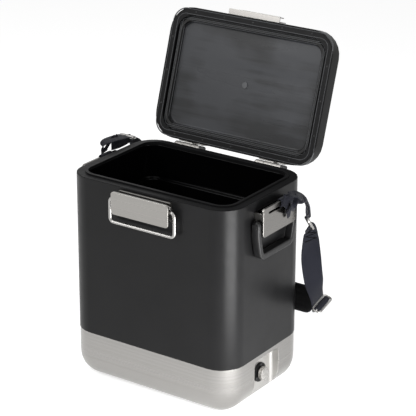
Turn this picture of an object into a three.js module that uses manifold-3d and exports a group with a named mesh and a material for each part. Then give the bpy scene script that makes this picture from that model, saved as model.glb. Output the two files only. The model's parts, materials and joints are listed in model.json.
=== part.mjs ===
// A steel cooler: jacket, drawn base, tub, hinged lid, draw latch, drop handles, drain plug and strap.
// Millimetres. +X is the cooler's right, -Y its front and +Z up. The origin is the middle of the flat
// under the base. The lid is modelled closed and then turned open on its hinges.

import * as THREE from "three";
import { mergeVertices } from "three/addons/utils/BufferGeometryUtils.js";
import Module from "manifold-3d";

const wasm = await Module();
wasm.setup();

// Clearances and cutters
const fit = 0.3; // between pieces that touch, all round
const running = 0.3; // radial, between a pin and its bore
const overrun = 1; // how far a cutter passes the face that it cuts
const sliver = 0.2; // smallest corner radius that a drawn-in outline keeps
const weld = 0.0001; // vertices nearer than this are one

// Jacket and base
const bodyWidth = 350;
const bodyDepth = 245;
const bodyCorner = 46.6;
const baseHeight = 94;
const shellHeight = 296.8;
const shellWall = 1.2;
const baseInset = 0.7; // the base stands in from the jacket's face
const baseWall = 1.2;
const baseEdge = 45.4; // radius of the base's lower edge
const lapHeight = 12; // the base's upper edge inside the jacket

// Drain pocket in the right face of the base
const pocketWidth = 78;
const pocketTop = 85;
const pocketDepth = 18;
const pocketCorner = 11;

// Rim collar
const deckRise = 0.6; // deck above the jacket's edge
const deckThickness = 3;
const lipInset = 15.5;
const lipWidth = 5.5;
const lipRise = 2.8;
const skirtWall = 1.2;
const skirtDrop = 10.4;

// Tub
const linerWall = 2.5;
const lipOverhang = 0.6; // the lip reaches past the tub's wall
const linerFlangeReach = 12;
const ledgeStep = 9;
const ledgeDrop = 67.4; // from the deck down to the ledge
const floorHeight = 36;
const floorEdge = 4;

// Lid
const lidSetBack = 0.35; // its front and back behind the jacket's
const lidCornerLess = 1.6; // its corners are tighter than the jacket's
const lidThickness = 27.6;
const lidEdge = 5;
const lidWall = 1.2;
const ringThickness = 2.5;
const ringUpstand = 2;
const ringFloor = 1.5;
const lipClearance = 0.8; // between the lip and the ring that closes round it
const recessDepth = 7;
const recessWidth = 11.8;
const dishDepth = 12;
const dishEdge = 3;
const panelThickness = 1.6;
const panelFlangeReach = 10;
const gasketWidth = 5.5;
const gasketInset = 18;
const gasketHeight = 3.6;
const gasketEdge = 1.2;
const plugRadius = 6;
const plugThickness = 1.2;
const plugStemRadius = 3.5;
const plugStemLength = 1.6;

// Hinges
const hingeBack = 7.1; // axis behind the back face
const hingeBelowDeck = 3.7;
const hingeFromSide = 86.5; // each hinge's middle from the nearer side
const hingeWidth = 53.4;
const barrelRadius = 5;
const hingePinRadius = 2.4;
const hingeLeafThickness = 2;
const bodyLeafDrop = 37.7; // foot of the lower leaf below the axis
const lidLeafStart = 2.3; // above the lid's lower edge
const lidLeafHeight = 22;
const knuckleRoot = 8.5; // height of the lug that carries a knuckle
const pinHeadRadius = 4.9;
const pinHeadLength = 9.5;
const pinTailRadius = 3.8;
const pinTailLength = 1.6;
const openAngle = THREE.MathUtils.degToRad(107.67);
const stopArmWidth = 15;
const stopPadStart = 13.5; // along the opened leaf, from the axis
const stopPadLength = 8;
const stopArmThickness = 3;

// Draw latch
const leverWidth = 121.4;
const leverHeight = 41.6;
const leverCorner = 5.5;
const leverSheet = 1.8;
const leverDepth = 4.5; // turned-back edges
const leverReach = 20; // face in front of the body
const leverTopBelowDeck = 3.3;
const latchPinBack = 8; // behind the lever's face
const latchPinBelow = 7.1; // below the lever's top edge
const latchPinRadius = 2.5;
const latchPinOverhang = 0.8;
const bailPivotDrop = 7.7;
const bailPivotBack = 0.5;
const lugSheet = 1.8;
const lugInset = 1.4; // lever lugs in from the lever's edge
const lugRadius = 5;
const lugTopRadius = 4.2;
const earGap = 1.7; // between ears and lugs
const earRadius = 3.6;
const earBelow = 3; // top of the ears' root, below the pin
const earHeight = 22;
const earFlangeHeight = 17; // the plate's turned-out edge beside each ear
const earFlangeDepth = 3.4;
const latchPlateTop = 4.4; // below the deck
const latchPlateHeight = 34;
const latchRollRadius = 1.7;
const bailWireRadius = 3;
const bailLength = 44.6;
const bailSide = 7.8; // leg's middle outside the lever's edge
const bailBend = 9;
const bailTuck = 1.3; // inner ends past the lugs

// Lid catch
const catchSheet = 1.8;
const catchWidth = 110;
const catchReach = 10;
const catchLipHeight = 13.6;
const seatWidth = 80;
const seatFloor = 22.5; // above the lid's lower edge
const seatReach = 10.65;
const seatLipHeight = 5.3;

// Side brackets and handles
const bracketReach = 20.5;
const bracketWidth = 103;
const bracketHeight = 52;
const bracketBelowDeck = 9.4; // top of the bracket below the deck
const bracketCorner = 6;
const bracketSheet = 2;
const bracketEdge = 4.5;
const bracketSlotWidth = 70;
const bracketSlotHeight = 4;
const bracketSlotDrop = 10.5;
const bracketWallSheet = 2;
const webInset = 1.5;
const webTopDrop = 9;
const webBottomRise = 3;
const handlePinRadius = 3;
const handlePivotReach = 10;
const handlePivotDrop = 30; // below the bracket's top
const handlePinHeadRadius = 5;
const handlePinHeadLength = 2;
const handleGap = 0.8; // legs beside the bracket's edges
const handleLeg = 9.5;
const handleBar = 11.5;
const handleDrop = 65.5; // from the pivot down to the bar's underside
const handleDraw = 7.5; // how much narrower each side is at its lower corner
const handleCorner = 15;
const handleInnerReach = 1.8;
const handleDepth = 16.2;
const handleTopRadius = 8;
const handleRim = 1.5; // chamfer of the band's edges

// Drain
const drainHeight = 47;
const drainTubeRadius = 5.2;
const drainBoreRadius = 3.7;
const drainFlangeRadius = 18;
const drainFlangeThickness = 3.5;
const drainNutRadius = 7.6;
const drainNutThickness = 3;
const nutSides = 6;
const sealRadius = 8;
const sealThickness = 1.5;
const knobRadius = 12.5;
const knobPeak = 1.5; // the knob's point in front of the jacket's side
const knobCone = 5.5; // length of its shallow cone
const knobStemRadius = 3.3;
const knobStemLength = 14;
const knobNeckRadius = 9;
const knobNeckLength = 0.8;

// Strap: webbing looped through the brackets' slots, steel rings, a slide adjuster and a pad
const strapWidth = 38;
const strapThickness = 1.8;
const loopThickness = 2.4; // the bunched webbing round the top of a bracket
const loopGap = 0.7;
const loopWidth = 31;
const loopMiddle = 17; // towards the back from the middle of a bracket
const loopCorner = 2;
const ringLength = 34;
const ringDepth = 17;
const ringWire = 4;
const ringCorner = 3;
const glideLength = 48;
const glideDepth = 22;
const glideSheet = 3;
const glideBar = 4;
const glideSlotCorner = 1;
const padLength = 300;
const padWidth = 52;
const padThickness = 8;
const padEdge = 3;
const padCorner = 16;
const padMiddle = [34, 135.3, 143];

// Facets
const cornerSteps = 6; // per quarter of an upright corner
const edgeSteps = 7; // per quarter of the base's rounded edge
const smallEdgeSteps = 3; // per quarter of a small rounded edge
const smallEdge = 10; // a rounded edge under this is a small one
const bailSteps = 36;
const ribbonSteps = 4; // between two stations of a strap
const arcSteps = 3; // pairs of facets per arc in an outline
const pinSides = 12;
const roundSides = 24;
const wireSides = 4; // pairs of facets round a wire

// Levels and places that follow from the sizes above
const shellTop = baseHeight + shellHeight;
const deckTop = shellTop + deckRise;
const deckBottom = deckTop - deckThickness;
const lipTop = deckTop + lipRise;
const mouthInset = lipInset + lipWidth;
const linerInset = mouthInset - lipOverhang;
const ledgeHeight = deckTop - ledgeDrop;
const linerTop = deckBottom - fit;
const lidBottom = deckTop + fit;
const lidTop = lidBottom + lidThickness;
const sideFace = bodyWidth / 2;
const frontFace = -bodyDepth / 2;
const backFace = bodyDepth / 2;
const lidWidth = bodyWidth;
const lidDepth = bodyDepth - 2 * lidSetBack;
const lidCorner = bodyCorner - lidCornerLess;
const hingeOffset = sideFace - hingeFromSide;
const hingeY = backFace + hingeBack;
const hingeZ = deckTop - hingeBelowDeck;
const pocketFloor = sideFace - pocketDepth;
const leverFace = frontFace - leverReach;
const leverTop = deckTop - leverTopBelowDeck;
const latchPinY = leverFace + latchPinBack;
const latchPinZ = leverTop - latchPinBelow;
const bailPivotY = latchPinY + bailPivotBack;
const bailPivotZ = latchPinZ - bailPivotDrop;
const bodyLeafBottom = hingeZ - bodyLeafDrop;
const bracketTop = deckTop - bracketBelowDeck;
const bracketSlotZ = bracketTop - bracketSlotDrop;
const handlePivotHeight = bracketTop - handlePivotDrop;
const handleBottom = handlePivotHeight - handleDrop;

const steel = { color: 0xb4aea6, roughness: 0.35, metalness: 1 };
const bright = { color: 0xcfccc8, roughness: 0.25, metalness: 1 };
const blackPaint = { color: 0x2b2b2d, roughness: 0.5, metalness: 0.1 };
const blackPlastic = { color: 0x161617, roughness: 0.35, metalness: 0 };
const greyPlastic = { color: 0x3c3d3f, roughness: 0.4, metalness: 0 };
const rubber = { color: 0x1b1b1b, roughness: 0.8, metalness: 0 };
const foam = { color: 0xd9cfa8, roughness: 0.9, metalness: 0 };
const webbing = { color: 0x3a3b45, roughness: 0.85, metalness: 0 };

const cooler = new THREE.Group();
const lid = new THREE.Group();
lid.position.set(0, hingeY, hingeZ);
lid.rotation.x = -openAngle;
const closedLid = new THREE.Group();
closedLid.position.set(0, -hingeY, -hingeZ);
lid.add(closedLid);
cooler.add(lid);

// Solids from three.js geometry, and back

function solid(geometry) {
  const flat = geometry.index ? geometry.toNonIndexed() : geometry;
  const bare = new THREE.BufferGeometry();
  bare.setAttribute("position", flat.getAttribute("position"));
  const merged = mergeVertices(bare, weld);
  const corners = merged.index.array;
  const faces = [];
  for (let i = 0; i < corners.length; i += 3) {
    const [a, b, c] = [corners[i], corners[i + 1], corners[i + 2]];
    if (a !== b && b !== c && c !== a) faces.push(a, b, c);
  }
  const vertProperties = merged.getAttribute("position").array;
  const build = (list) =>
    new wasm.Manifold(new wasm.Mesh({ numProp: 3, vertProperties, triVerts: new Uint32Array(list) }));
  const made = build(faces);
  return made.volume() < 0 ? build(faces.reverse()) : made;
}

const join = (...solids) => solids.reduce((whole, next) => whole.add(next));
const cut = (from, ...tools) => tools.reduce((left, tool) => left.subtract(tool), from);
const common = (one, other) => one.intersect(other);

function addPiece(name, made, look, parent = cooler) {
  const { vertProperties, triVerts, numProp } = made.getMesh();
  const geometry = new THREE.BufferGeometry();
  const positions = new Float32Array((vertProperties.length / numProp) * 3);
  for (let i = 0; i < positions.length / 3; i++) {
    positions.set(vertProperties.subarray(i * numProp, i * numProp + 3), i * 3);
  }
  geometry.setAttribute("position", new THREE.BufferAttribute(positions, 3));
  geometry.setIndex(new THREE.BufferAttribute(triVerts, 1));
  geometry.computeVertexNormals();
  const mesh = new THREE.Mesh(geometry, new THREE.MeshStandardMaterial({ ...look, flatShading: true }));
  mesh.name = name;
  parent.add(mesh);
  return mesh;
}

// Outlines

function roundedRect(width, height, corner, middleX = 0, middleY = 0) {
  const x = width / 2;
  const y = height / 2;
  const r = Math.min(corner, x, y);
  const shape = new THREE.Shape();
  shape.moveTo(middleX + x, middleY - y + r);
  shape.absarc(middleX + x - r, middleY + y - r, r, 0, Math.PI / 2);
  shape.absarc(middleX - x + r, middleY + y - r, r, Math.PI / 2, Math.PI);
  shape.absarc(middleX - x + r, middleY - y + r, r, Math.PI, Math.PI * 1.5);
  shape.absarc(middleX + x - r, middleY - y + r, r, Math.PI * 1.5, Math.PI * 2);
  return shape;
}

const polygon = (points) => new THREE.Shape(points.map(([x, y]) => new THREE.Vector2(x, y)));

// The outline of a bent sheet that follows a line of points, with mitred bends.
function bentSheet(points, thickness) {
  const line = points.map(([x, y]) => new THREE.Vector2(x, y));
  const across = (a, b) => {
    const d = b.clone().sub(a).normalize();
    return new THREE.Vector2(-d.y, d.x);
  };
  const side = (sign) =>
    line.map((p, i) => {
      const before = across(line[Math.max(i - 1, 0)], line[Math.max(i, 1)]);
      const after = across(line[Math.min(i, line.length - 2)], line[Math.min(i + 1, line.length - 1)]);
      const mitre = before.clone().add(after).normalize();
      const reach = thickness / 2 / mitre.dot(after);
      return p.clone().addScaledVector(mitre, sign * reach);
    });
  return new THREE.Shape([...side(1), ...side(-1).reverse()]);
}

// The outline round two circles.
function pulledOutline(first, firstRadius, second, secondRadius) {
  const a = new THREE.Vector2(...first);
  const b = new THREE.Vector2(...second);
  const heading = Math.atan2(b.y - a.y, b.x - a.x);
  const spread = Math.acos((firstRadius - secondRadius) / a.distanceTo(b));
  const shape = new THREE.Shape();
  shape.absarc(a.x, a.y, firstRadius, heading + spread, heading - spread + Math.PI * 2);
  shape.absarc(b.x, b.y, secondRadius, heading - spread, heading + spread);
  return shape;
}

// Straight solids

const xAxis = new THREE.Vector3(1, 0, 0);
const yAxis = new THREE.Vector3(0, 1, 0);
const zAxis = new THREE.Vector3(0, 0, 1);

function extruded(shape, length) {
  return new THREE.ExtrudeGeometry(shape, { depth: length, bevelEnabled: false, curveSegments: arcSteps });
}

// An outline in (y, z), from one x to another.
function alongX(shape, low, high) {
  const basis = new THREE.Matrix4().makeBasis(yAxis, zAxis, xAxis);
  return solid(extruded(shape, high - low).applyMatrix4(basis).translate(low, 0, 0));
}

// An outline in (x, z), from one y to another.
function alongY(shape, low, high) {
  const basis = new THREE.Matrix4().makeBasis(xAxis, zAxis, yAxis.clone().negate());
  return solid(extruded(shape, high - low).applyMatrix4(basis).translate(0, high, 0));
}

function box([x0, x1], [y0, y1], [z0, z1]) {
  const geometry = new THREE.BoxGeometry(x1 - x0, y1 - y0, z1 - z0);
  return solid(geometry.translate((x0 + x1) / 2, (y0 + y1) / 2, (z0 + z1) / 2));
}

function rod(from, to, radius, sides = pinSides) {
  const a = new THREE.Vector3(...from);
  const b = new THREE.Vector3(...to);
  const geometry = new THREE.CylinderGeometry(radius, radius, a.distanceTo(b), sides);
  const turn = new THREE.Quaternion().setFromUnitVectors(yAxis, b.clone().sub(a).normalize());
  const middle = a.clone().add(b).multiplyScalar(1 / 2);
  return solid(geometry.applyQuaternion(turn).translate(middle.x, middle.y, middle.z));
}

// A turned solid about a line along X: the profile's points are (distance along X, radius).
function turnedAlongX(profile, y, z, sides) {
  const points = profile.map(([along, radius]) => new THREE.Vector2(radius, along));
  const geometry = new THREE.LatheGeometry(points, sides);
  const basis = new THREE.Matrix4().makeBasis(yAxis, xAxis, zAxis.clone().negate());
  return solid(geometry.applyMatrix4(basis).translate(0, y, z));
}

// Lofts

function loft(rings) {
  const positions = [];
  const faces = [];
  const count = rings[0].length;
  rings.forEach((ring) => ring.forEach((p) => positions.push(p.x, p.y, p.z)));
  const last = (rings.length - 1) * count;
  for (let r = 0; r < rings.length - 1; r++) {
    for (let i = 0; i < count; i++) {
      const a = r * count + i;
      const b = r * count + ((i + 1) % count);
      faces.push(a, b, b + count, a, b + count, a + count);
    }
  }
  [0, last].forEach((start) => {
    const middle = positions.length / 3;
    const ring = rings[start / count];
    const centre = ring.reduce((sum, p) => sum.add(p), new THREE.Vector3()).divideScalar(count);
    positions.push(centre.x, centre.y, centre.z);
    for (let i = 0; i < count; i++) {
      const [a, b] = [start + i, start + ((i + 1) % count)];
      faces.push(...(start ? [middle, a, b] : [middle, b, a]));
    }
  });
  const geometry = new THREE.BufferGeometry();
  geometry.setAttribute("position", new THREE.Float32BufferAttribute(positions, 3));
  geometry.setIndex(faces);
  return solid(geometry);
}

// The rings of a box with rounded upright corners, whose lower and upper edges can be rounded too.
function drawnRings({ width, depth, corner, bottom, top, bottomEdge = 0, topEdge = 0 }) {
  const ring = (inset, z) => {
    const r = Math.max(corner - inset, sliver);
    const x = width / 2 - inset - r;
    const y = depth / 2 - inset - r;
    const points = [];
    [[1, 1], [-1, 1], [-1, -1], [1, -1]].forEach(([sx, sy], quarter) => {
      for (let i = 0; i <= cornerSteps; i++) {
        const angle = ((quarter + i / cornerSteps) * Math.PI) / 2;
        points.push(new THREE.Vector3(sx * x + r * Math.cos(angle), sy * y + r * Math.sin(angle), z));
      }
    });
    return points;
  };
  const rings = [];
  const stepsOf = (edge) => (edge < smallEdge ? smallEdgeSteps : edgeSteps);
  const lowSteps = bottomEdge ? stepsOf(bottomEdge) : 0;
  const highSteps = topEdge ? stepsOf(topEdge) : 0;
  for (let i = 0; i <= lowSteps; i++) {
    const angle = lowSteps ? ((i / lowSteps) * Math.PI) / 2 : 0;
    rings.push(ring(bottomEdge * (1 - Math.sin(angle)), bottom + bottomEdge * (1 - Math.cos(angle))));
  }
  for (let i = 0; i <= highSteps; i++) {
    const angle = highSteps ? ((i / highSteps) * Math.PI) / 2 : 0;
    rings.push(ring(topEdge * (1 - Math.cos(angle)), top - topEdge * (1 - Math.sin(angle))));
  }
  return rings;
}

const drawnBox = (sizes) => loft(drawnRings(sizes));

// The body's and the lid's plan outlines, drawn in from their outer faces.
const bodyPlan = (inset) => ({
  width: bodyWidth - 2 * inset,
  depth: bodyDepth - 2 * inset,
  corner: Math.max(bodyCorner - inset, sliver),
});
const lidPlan = (inset) => ({
  width: lidWidth - 2 * inset,
  depth: lidDepth - 2 * inset,
  corner: Math.max(lidCorner - inset, sliver),
});
const bodyBlock = (inset, bottom, top, edges = {}) => drawnBox({ ...bodyPlan(inset), bottom, top, ...edges });
const lidBlock = (inset, bottom, top, edges = {}) => drawnBox({ ...lidPlan(inset), bottom, top, ...edges });

// Jacket, base and drain pocket

function makeShell() {
  return cut(bodyBlock(0, baseHeight, shellTop), bodyBlock(shellWall, baseHeight - overrun, shellTop + overrun));
}

function pocketOutline(grow) {
  const halfWidth = pocketWidth / 2 + grow;
  const top = pocketTop + grow;
  const r = Math.min(pocketCorner + grow, halfWidth);
  const shape = new THREE.Shape();
  shape.moveTo(-halfWidth, -overrun);
  shape.lineTo(halfWidth, -overrun);
  shape.absarc(halfWidth - r, top - r, r, 0, Math.PI / 2);
  shape.absarc(-halfWidth + r, top - r, r, Math.PI / 2, Math.PI);
  return shape;
}

const pocketBlock = (grow) => alongX(pocketOutline(grow), pocketFloor - grow, sideFace + overrun);
const drainHole = (radius, from, to) => rod([from, 0, drainHeight], [to, 0, drainHeight], radius);

function makeBase() {
  const lapInset = shellWall + fit;
  const hollowInset = lapInset + baseWall;
  const floor = hollowInset - baseInset;
  const outside = join(
    bodyBlock(baseInset, 0, baseHeight - fit, { bottomEdge: baseEdge }),
    bodyBlock(lapInset, baseHeight - fit - baseWall, baseHeight + lapHeight),
  );
  const hollow = bodyBlock(hollowInset, floor, baseHeight + lapHeight + overrun, {
    bottomEdge: baseEdge - floor,
  });
  return cut(
    join(cut(outside, hollow), common(outside, pocketBlock(baseWall))),
    pocketBlock(0),
    drainHole(drainTubeRadius + fit, pocketFloor - baseWall - overrun, pocketFloor + overrun),
  );
}

// Tub and foam

function linerOutside(grow) {
  const upper = linerInset - linerWall - grow;
  return join(
    bodyBlock(upper, ledgeHeight - linerWall - grow, linerTop + grow),
    bodyBlock(upper + ledgeStep, floorHeight - linerWall - grow, ledgeHeight, {
      bottomEdge: floorEdge + linerWall + grow,
    }),
    bodyBlock(upper - linerFlangeReach, linerTop - linerWall - grow, linerTop + grow),
  );
}

function makeLiner() {
  const wall = sideFace - linerInset - ledgeStep;
  return cut(
    linerOutside(0),
    bodyBlock(linerInset, ledgeHeight, linerTop + overrun),
    bodyBlock(linerInset + ledgeStep, floorHeight, ledgeHeight + overrun, { bottomEdge: floorEdge }),
    drainHole(drainTubeRadius + fit, wall - overrun, wall + linerWall + overrun),
  );
}

function makeInsulation() {
  const inset = shellWall + fit + baseWall + fit;
  const top = linerTop - linerWall - fit;
  const floor = inset - baseInset;
  return cut(
    bodyBlock(inset, floor, top, { bottomEdge: baseEdge - floor }),
    linerOutside(fit),
    pocketBlock(baseWall + fit),
    drainHole(drainTubeRadius + fit, 0, sideFace),
  );
}

function makeCollar() {
  const outer = shellWall + fit;
  const foot = deckTop - deckThickness - skirtDrop;
  return cut(
    join(bodyBlock(outer, foot, deckTop), bodyBlock(lipInset, deckBottom, lipTop)),
    bodyBlock(outer + skirtWall, foot - overrun, deckBottom),
    bodyBlock(mouthInset, foot - overrun, lipTop + overrun),
  );
}

// Lid, closed

const recessInset = lipInset - lipClearance;
const panelInset = recessInset + recessWidth;
const recessTop = lidBottom + recessDepth;
const dishTop = lidBottom + dishDepth;
const panelFoot = recessTop + ringFloor + fit;

function makeLidShell() {
  return cut(
    lidBlock(0, lidBottom, lidTop, { topEdge: lidEdge }),
    lidBlock(lidWall, lidBottom - overrun, lidTop - lidWall, { topEdge: lidEdge - lidWall }),
  );
}

function makeLidRing() {
  return cut(
    join(
      lidBlock(lidWall + fit, lidBottom, lidBottom + ringThickness),
      bodyBlock(recessInset - ringUpstand, lidBottom, recessTop + ringFloor),
    ),
    bodyBlock(recessInset, lidBottom - overrun, recessTop),
    bodyBlock(panelInset, lidBottom - overrun, recessTop + ringFloor + overrun),
  );
}

function makeLidPanel() {
  return cut(
    join(
      bodyBlock(panelInset - panelFlangeReach, panelFoot, panelFoot + panelThickness),
      bodyBlock(panelInset - panelThickness, panelFoot, dishTop + panelThickness, { topEdge: dishEdge }),
    ),
    bodyBlock(panelInset, panelFoot - overrun, dishTop, { topEdge: dishEdge }),
    rod([0, 0, dishTop - overrun], [0, 0, dishTop + panelThickness + overrun], plugStemRadius + fit),
  );
}

function makeLidFoam() {
  const inset = lidWall + fit;
  return cut(
    lidBlock(inset, lidBottom + ringThickness + fit, lidTop - inset, { topEdge: lidEdge - inset }),
    bodyBlock(recessInset - ringUpstand - fit, lidBottom, dishTop + panelThickness + fit),
  );
}

function makeGasket() {
  const top = recessTop - fit;
  return cut(
    bodyBlock(gasketInset, top - gasketHeight, top, { bottomEdge: gasketEdge }),
    bodyBlock(gasketInset + gasketWidth, top - gasketHeight - overrun, top + overrun),
  );
}

function makePortPlug() {
  const face = dishTop - fit;
  return join(
    rod([0, 0, face - plugThickness], [0, 0, face], plugRadius),
    rod([0, 0, face - plugThickness / 2], [0, 0, face + plugStemLength], plugStemRadius),
  );
}

function makeCatch() {
  const flange = -lidDepth / 2 - fit - catchSheet / 2;
  const shelf = lidBottom - fit + catchSheet / 2;
  const lip = flange - catchReach + catchSheet;
  const seat = lidBottom + seatFloor - catchSheet / 2;
  const seatLip = flange - seatReach + catchSheet;
  const hook = bentSheet(
    [
      [flange, seat + catchSheet / 2],
      [flange, shelf],
      [lip, shelf],
      [lip, lidBottom - fit + catchLipHeight],
    ],
    catchSheet,
  );
  const upper = bentSheet(
    [
      [flange, seat],
      [seatLip, seat],
      [seatLip, seat + catchSheet / 2 + seatLipHeight],
    ],
    catchSheet,
  );
  return join(
    alongX(hook, -catchWidth / 2, catchWidth / 2),
    alongX(upper, -seatWidth / 2, seatWidth / 2),
  );
}

// Hinges, drawn about x = 0 and moved to their places

const knuckle = hingeWidth / 3;
const middleHalf = knuckle / 2 - fit / 2;
const barrel = (low, high) => rod([low, hingeY, hingeZ], [high, hingeY, hingeZ], barrelRadius);
const hingeBore = () =>
  rod([-hingeWidth, hingeY, hingeZ], [hingeWidth, hingeY, hingeZ], hingePinRadius + running);

function makeBodyLeaf() {
  const near = backFace + fit;
  const half = hingeWidth / 2;
  const leafTop = hingeZ - barrelRadius - fit;
  const root = [near, hingeY];
  const rootZ = [hingeZ - knuckleRoot, hingeZ];
  const outer = [[-half, -half + knuckle - fit / 2], [half - knuckle + fit / 2, half]];
  const along = (out, up) => {
    const [cos, sin] = [Math.cos(openAngle), Math.sin(openAngle)];
    return [hingeY + out * cos + up * sin, hingeZ - out * sin + up * cos];
  };
  const leafFace = lidDepth / 2 + fit + hingeLeafThickness - hingeY;
  const padInner = along(leafFace + fit, stopPadStart);
  const padOuter = along(leafFace + fit, stopPadStart + stopPadLength);
  const padUnder = along(leafFace + fit + stopArmThickness, stopPadStart + stopPadLength);
  const armTop = hingeZ - knuckleRoot;
  const arm = polygon([
    [near, armTop],
    [near, armTop - stopArmThickness],
    [hingeY + barrelRadius, armTop - stopArmThickness],
    padUnder,
    padOuter,
    padInner,
    [hingeY + barrelRadius, armTop],
  ]);
  return cut(
    join(
      box([-half, half], [near, near + hingeLeafThickness], [bodyLeafBottom, leafTop]),
      ...outer.map(([low, high]) => join(box([low, high], root, rootZ), barrel(low, high))),
      alongX(arm, -stopArmWidth / 2, stopArmWidth / 2),
    ),
    hingeBore(),
  );
}

function makeLidLeaf() {
  const near = lidDepth / 2 + fit;
  const bottom = lidBottom + lidLeafStart;
  const half = hingeWidth / 2;
  const web = [-middleHalf, middleHalf];
  return cut(
    join(
      box([-half, half], [near, near + hingeLeafThickness], [bottom, bottom + lidLeafHeight]),
      box(web, [backFace + fit, hingeY], [hingeZ, bottom + hingeLeafThickness]),
      barrel(...web),
    ),
    hingeBore(),
  );
}

function makeHingePin() {
  const half = hingeWidth / 2;
  const start = -half - fit;
  const end = half + fit;
  return turnedAlongX(
    [
      [start - pinTailLength, 0],
      [start - pinTailLength, pinTailRadius],
      [start, pinTailRadius],
      [start, hingePinRadius],
      [end, hingePinRadius],
      [end, pinHeadRadius],
      [end + pinHeadLength, pinHeadRadius],
      [end + pinHeadLength, 0],
    ],
    hingeY,
    hingeZ,
    pinSides,
  );
}

// Draw latch

const lugOut = leverWidth / 2 - lugInset;
const lugIn = lugOut - lugSheet;
const earOut = lugIn - earGap;
const earIn = earOut - lugSheet;
const bothSides = (low, high) => [[low, high], [-high, -low]];

function makeLatchBracket() {
  const near = frontFace - fit;
  const plateTop = deckTop - latchPlateTop;
  const rootTop = latchPinZ - earBelow;
  const ear = polygon([
    [near, rootTop],
    [near, rootTop - earHeight],
    [latchPinY, latchPinZ - earRadius],
    [latchPinY, latchPinZ + earRadius],
  ]);
  const pinHole = rod([-earOut, latchPinY, latchPinZ], [earOut, latchPinY, latchPinZ], latchPinRadius + running);
  const rollZ = plateTop - latchRollRadius;
  return cut(
    join(
      box([-earOut, earOut], [near - lugSheet, near], [plateTop - latchPlateHeight, plateTop]),
      rod([-earOut, near - latchRollRadius, rollZ], [earOut, near - latchRollRadius, rollZ], latchRollRadius),
      ...bothSides(earIn, earOut).map(([low, high]) =>
        join(
          alongX(ear, low, high),
          box([low, high], [near - earFlangeDepth, near], [plateTop - earFlangeHeight, plateTop]),
          rod([low, latchPinY, latchPinZ], [high, latchPinY, latchPinZ], earRadius),
        ),
      ),
    ),
    pinHole,
  );
}

function makeLatchPin() {
  const end = leverWidth / 2 + latchPinOverhang;
  return rod([-end, latchPinY, latchPinZ], [end, latchPinY, latchPinZ], latchPinRadius);
}

function makeLever() {
  const middle = leverTop - leverHeight / 2;
  const back = leverFace + leverDepth;
  const pan = cut(
    alongY(roundedRect(leverWidth, leverHeight, leverCorner, 0, middle), leverFace, back),
    alongY(
      roundedRect(leverWidth - 2 * leverSheet, leverHeight - 2 * leverSheet, leverCorner - leverSheet, 0, middle),
      leverFace + leverSheet,
      back + overrun,
    ),
  );
  const lugOutline = pulledOutline([latchPinY, latchPinZ], lugTopRadius, [bailPivotY, bailPivotZ], lugRadius);
  const link = polygon([
    [leverFace + leverSheet / 2, latchPinZ + lugTopRadius / 2],
    [leverFace + leverSheet / 2, bailPivotZ - lugRadius],
    [bailPivotY, bailPivotZ - lugRadius],
    [latchPinY, latchPinZ + lugTopRadius / 2],
  ]);
  const lugs = bothSides(lugIn, lugOut).map(([low, high]) =>
    join(alongX(lugOutline, low, high), alongX(link, low, high)),
  );
  const half = leverWidth / 2 + overrun;
  return cut(
    join(pan, ...lugs),
    rod([-half, latchPinY, latchPinZ], [half, latchPinY, latchPinZ], latchPinRadius + running),
    rod([-half, bailPivotY, bailPivotZ], [half, bailPivotY, bailPivotZ], bailWireRadius + running),
  );
}

// A path of straight runs with rounded bends.
function bentPath(points, bend) {
  const p = points.map((point) => new THREE.Vector3(...point));
  const path = new THREE.CurvePath();
  let from = p[0];
  for (let i = 1; i < p.length - 1; i++) {
    const before = p[i].clone().add(p[i - 1].clone().sub(p[i]).setLength(bend));
    const after = p[i].clone().add(p[i + 1].clone().sub(p[i]).setLength(bend));
    path.add(new THREE.LineCurve3(from, before));
    path.add(new THREE.QuadraticBezierCurve3(before, p[i], after));
    from = after;
  }
  path.add(new THREE.LineCurve3(from, p[p.length - 1]));
  return path;
}

function wire(path, radius, steps) {
  const section = new THREE.Shape().absarc(0, 0, radius, 0, Math.PI * 2);
  const options = { steps, extrudePath: path, bevelEnabled: false, curveSegments: wireSides };
  return solid(new THREE.ExtrudeGeometry(section, options));
}

function makeBail() {
  const leg = leverWidth / 2 + bailSide;
  const end = lugIn - bailTuck;
  const foot = bailPivotZ - bailLength;
  const path = bentPath(
    [
      [-end, bailPivotY, bailPivotZ],
      [-leg, bailPivotY, bailPivotZ],
      [-leg, bailPivotY, foot],
      [leg, bailPivotY, foot],
      [leg, bailPivotY, bailPivotZ],
      [end, bailPivotY, bailPivotZ],
    ],
    bailBend,
  );
  return wire(path, bailWireRadius, bailSteps);
}

// Side brackets and handles, drawn on the right side and mirrored for the left

const bracketFace = sideFace + bracketReach;
const bracketMiddle = bracketTop - bracketHeight / 2;
const webOut = bracketWidth / 2 - webInset;
const webIn = webOut - bracketSheet;
const handlePivotX = sideFace + handlePivotReach;
const bracketCornerDrop = handlePivotHeight - (bracketTop - bracketHeight + bracketCorner);
// The legs draw in below the circle that the bracket's straight edges lie in.
const handleShoulder = handlePivotHeight - Math.hypot(bracketFace - handlePivotX, bracketCornerDrop) - fit;
const legIn = bracketWidth / 2 + handleGap;
const legOut = legIn + handleLeg;

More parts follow.
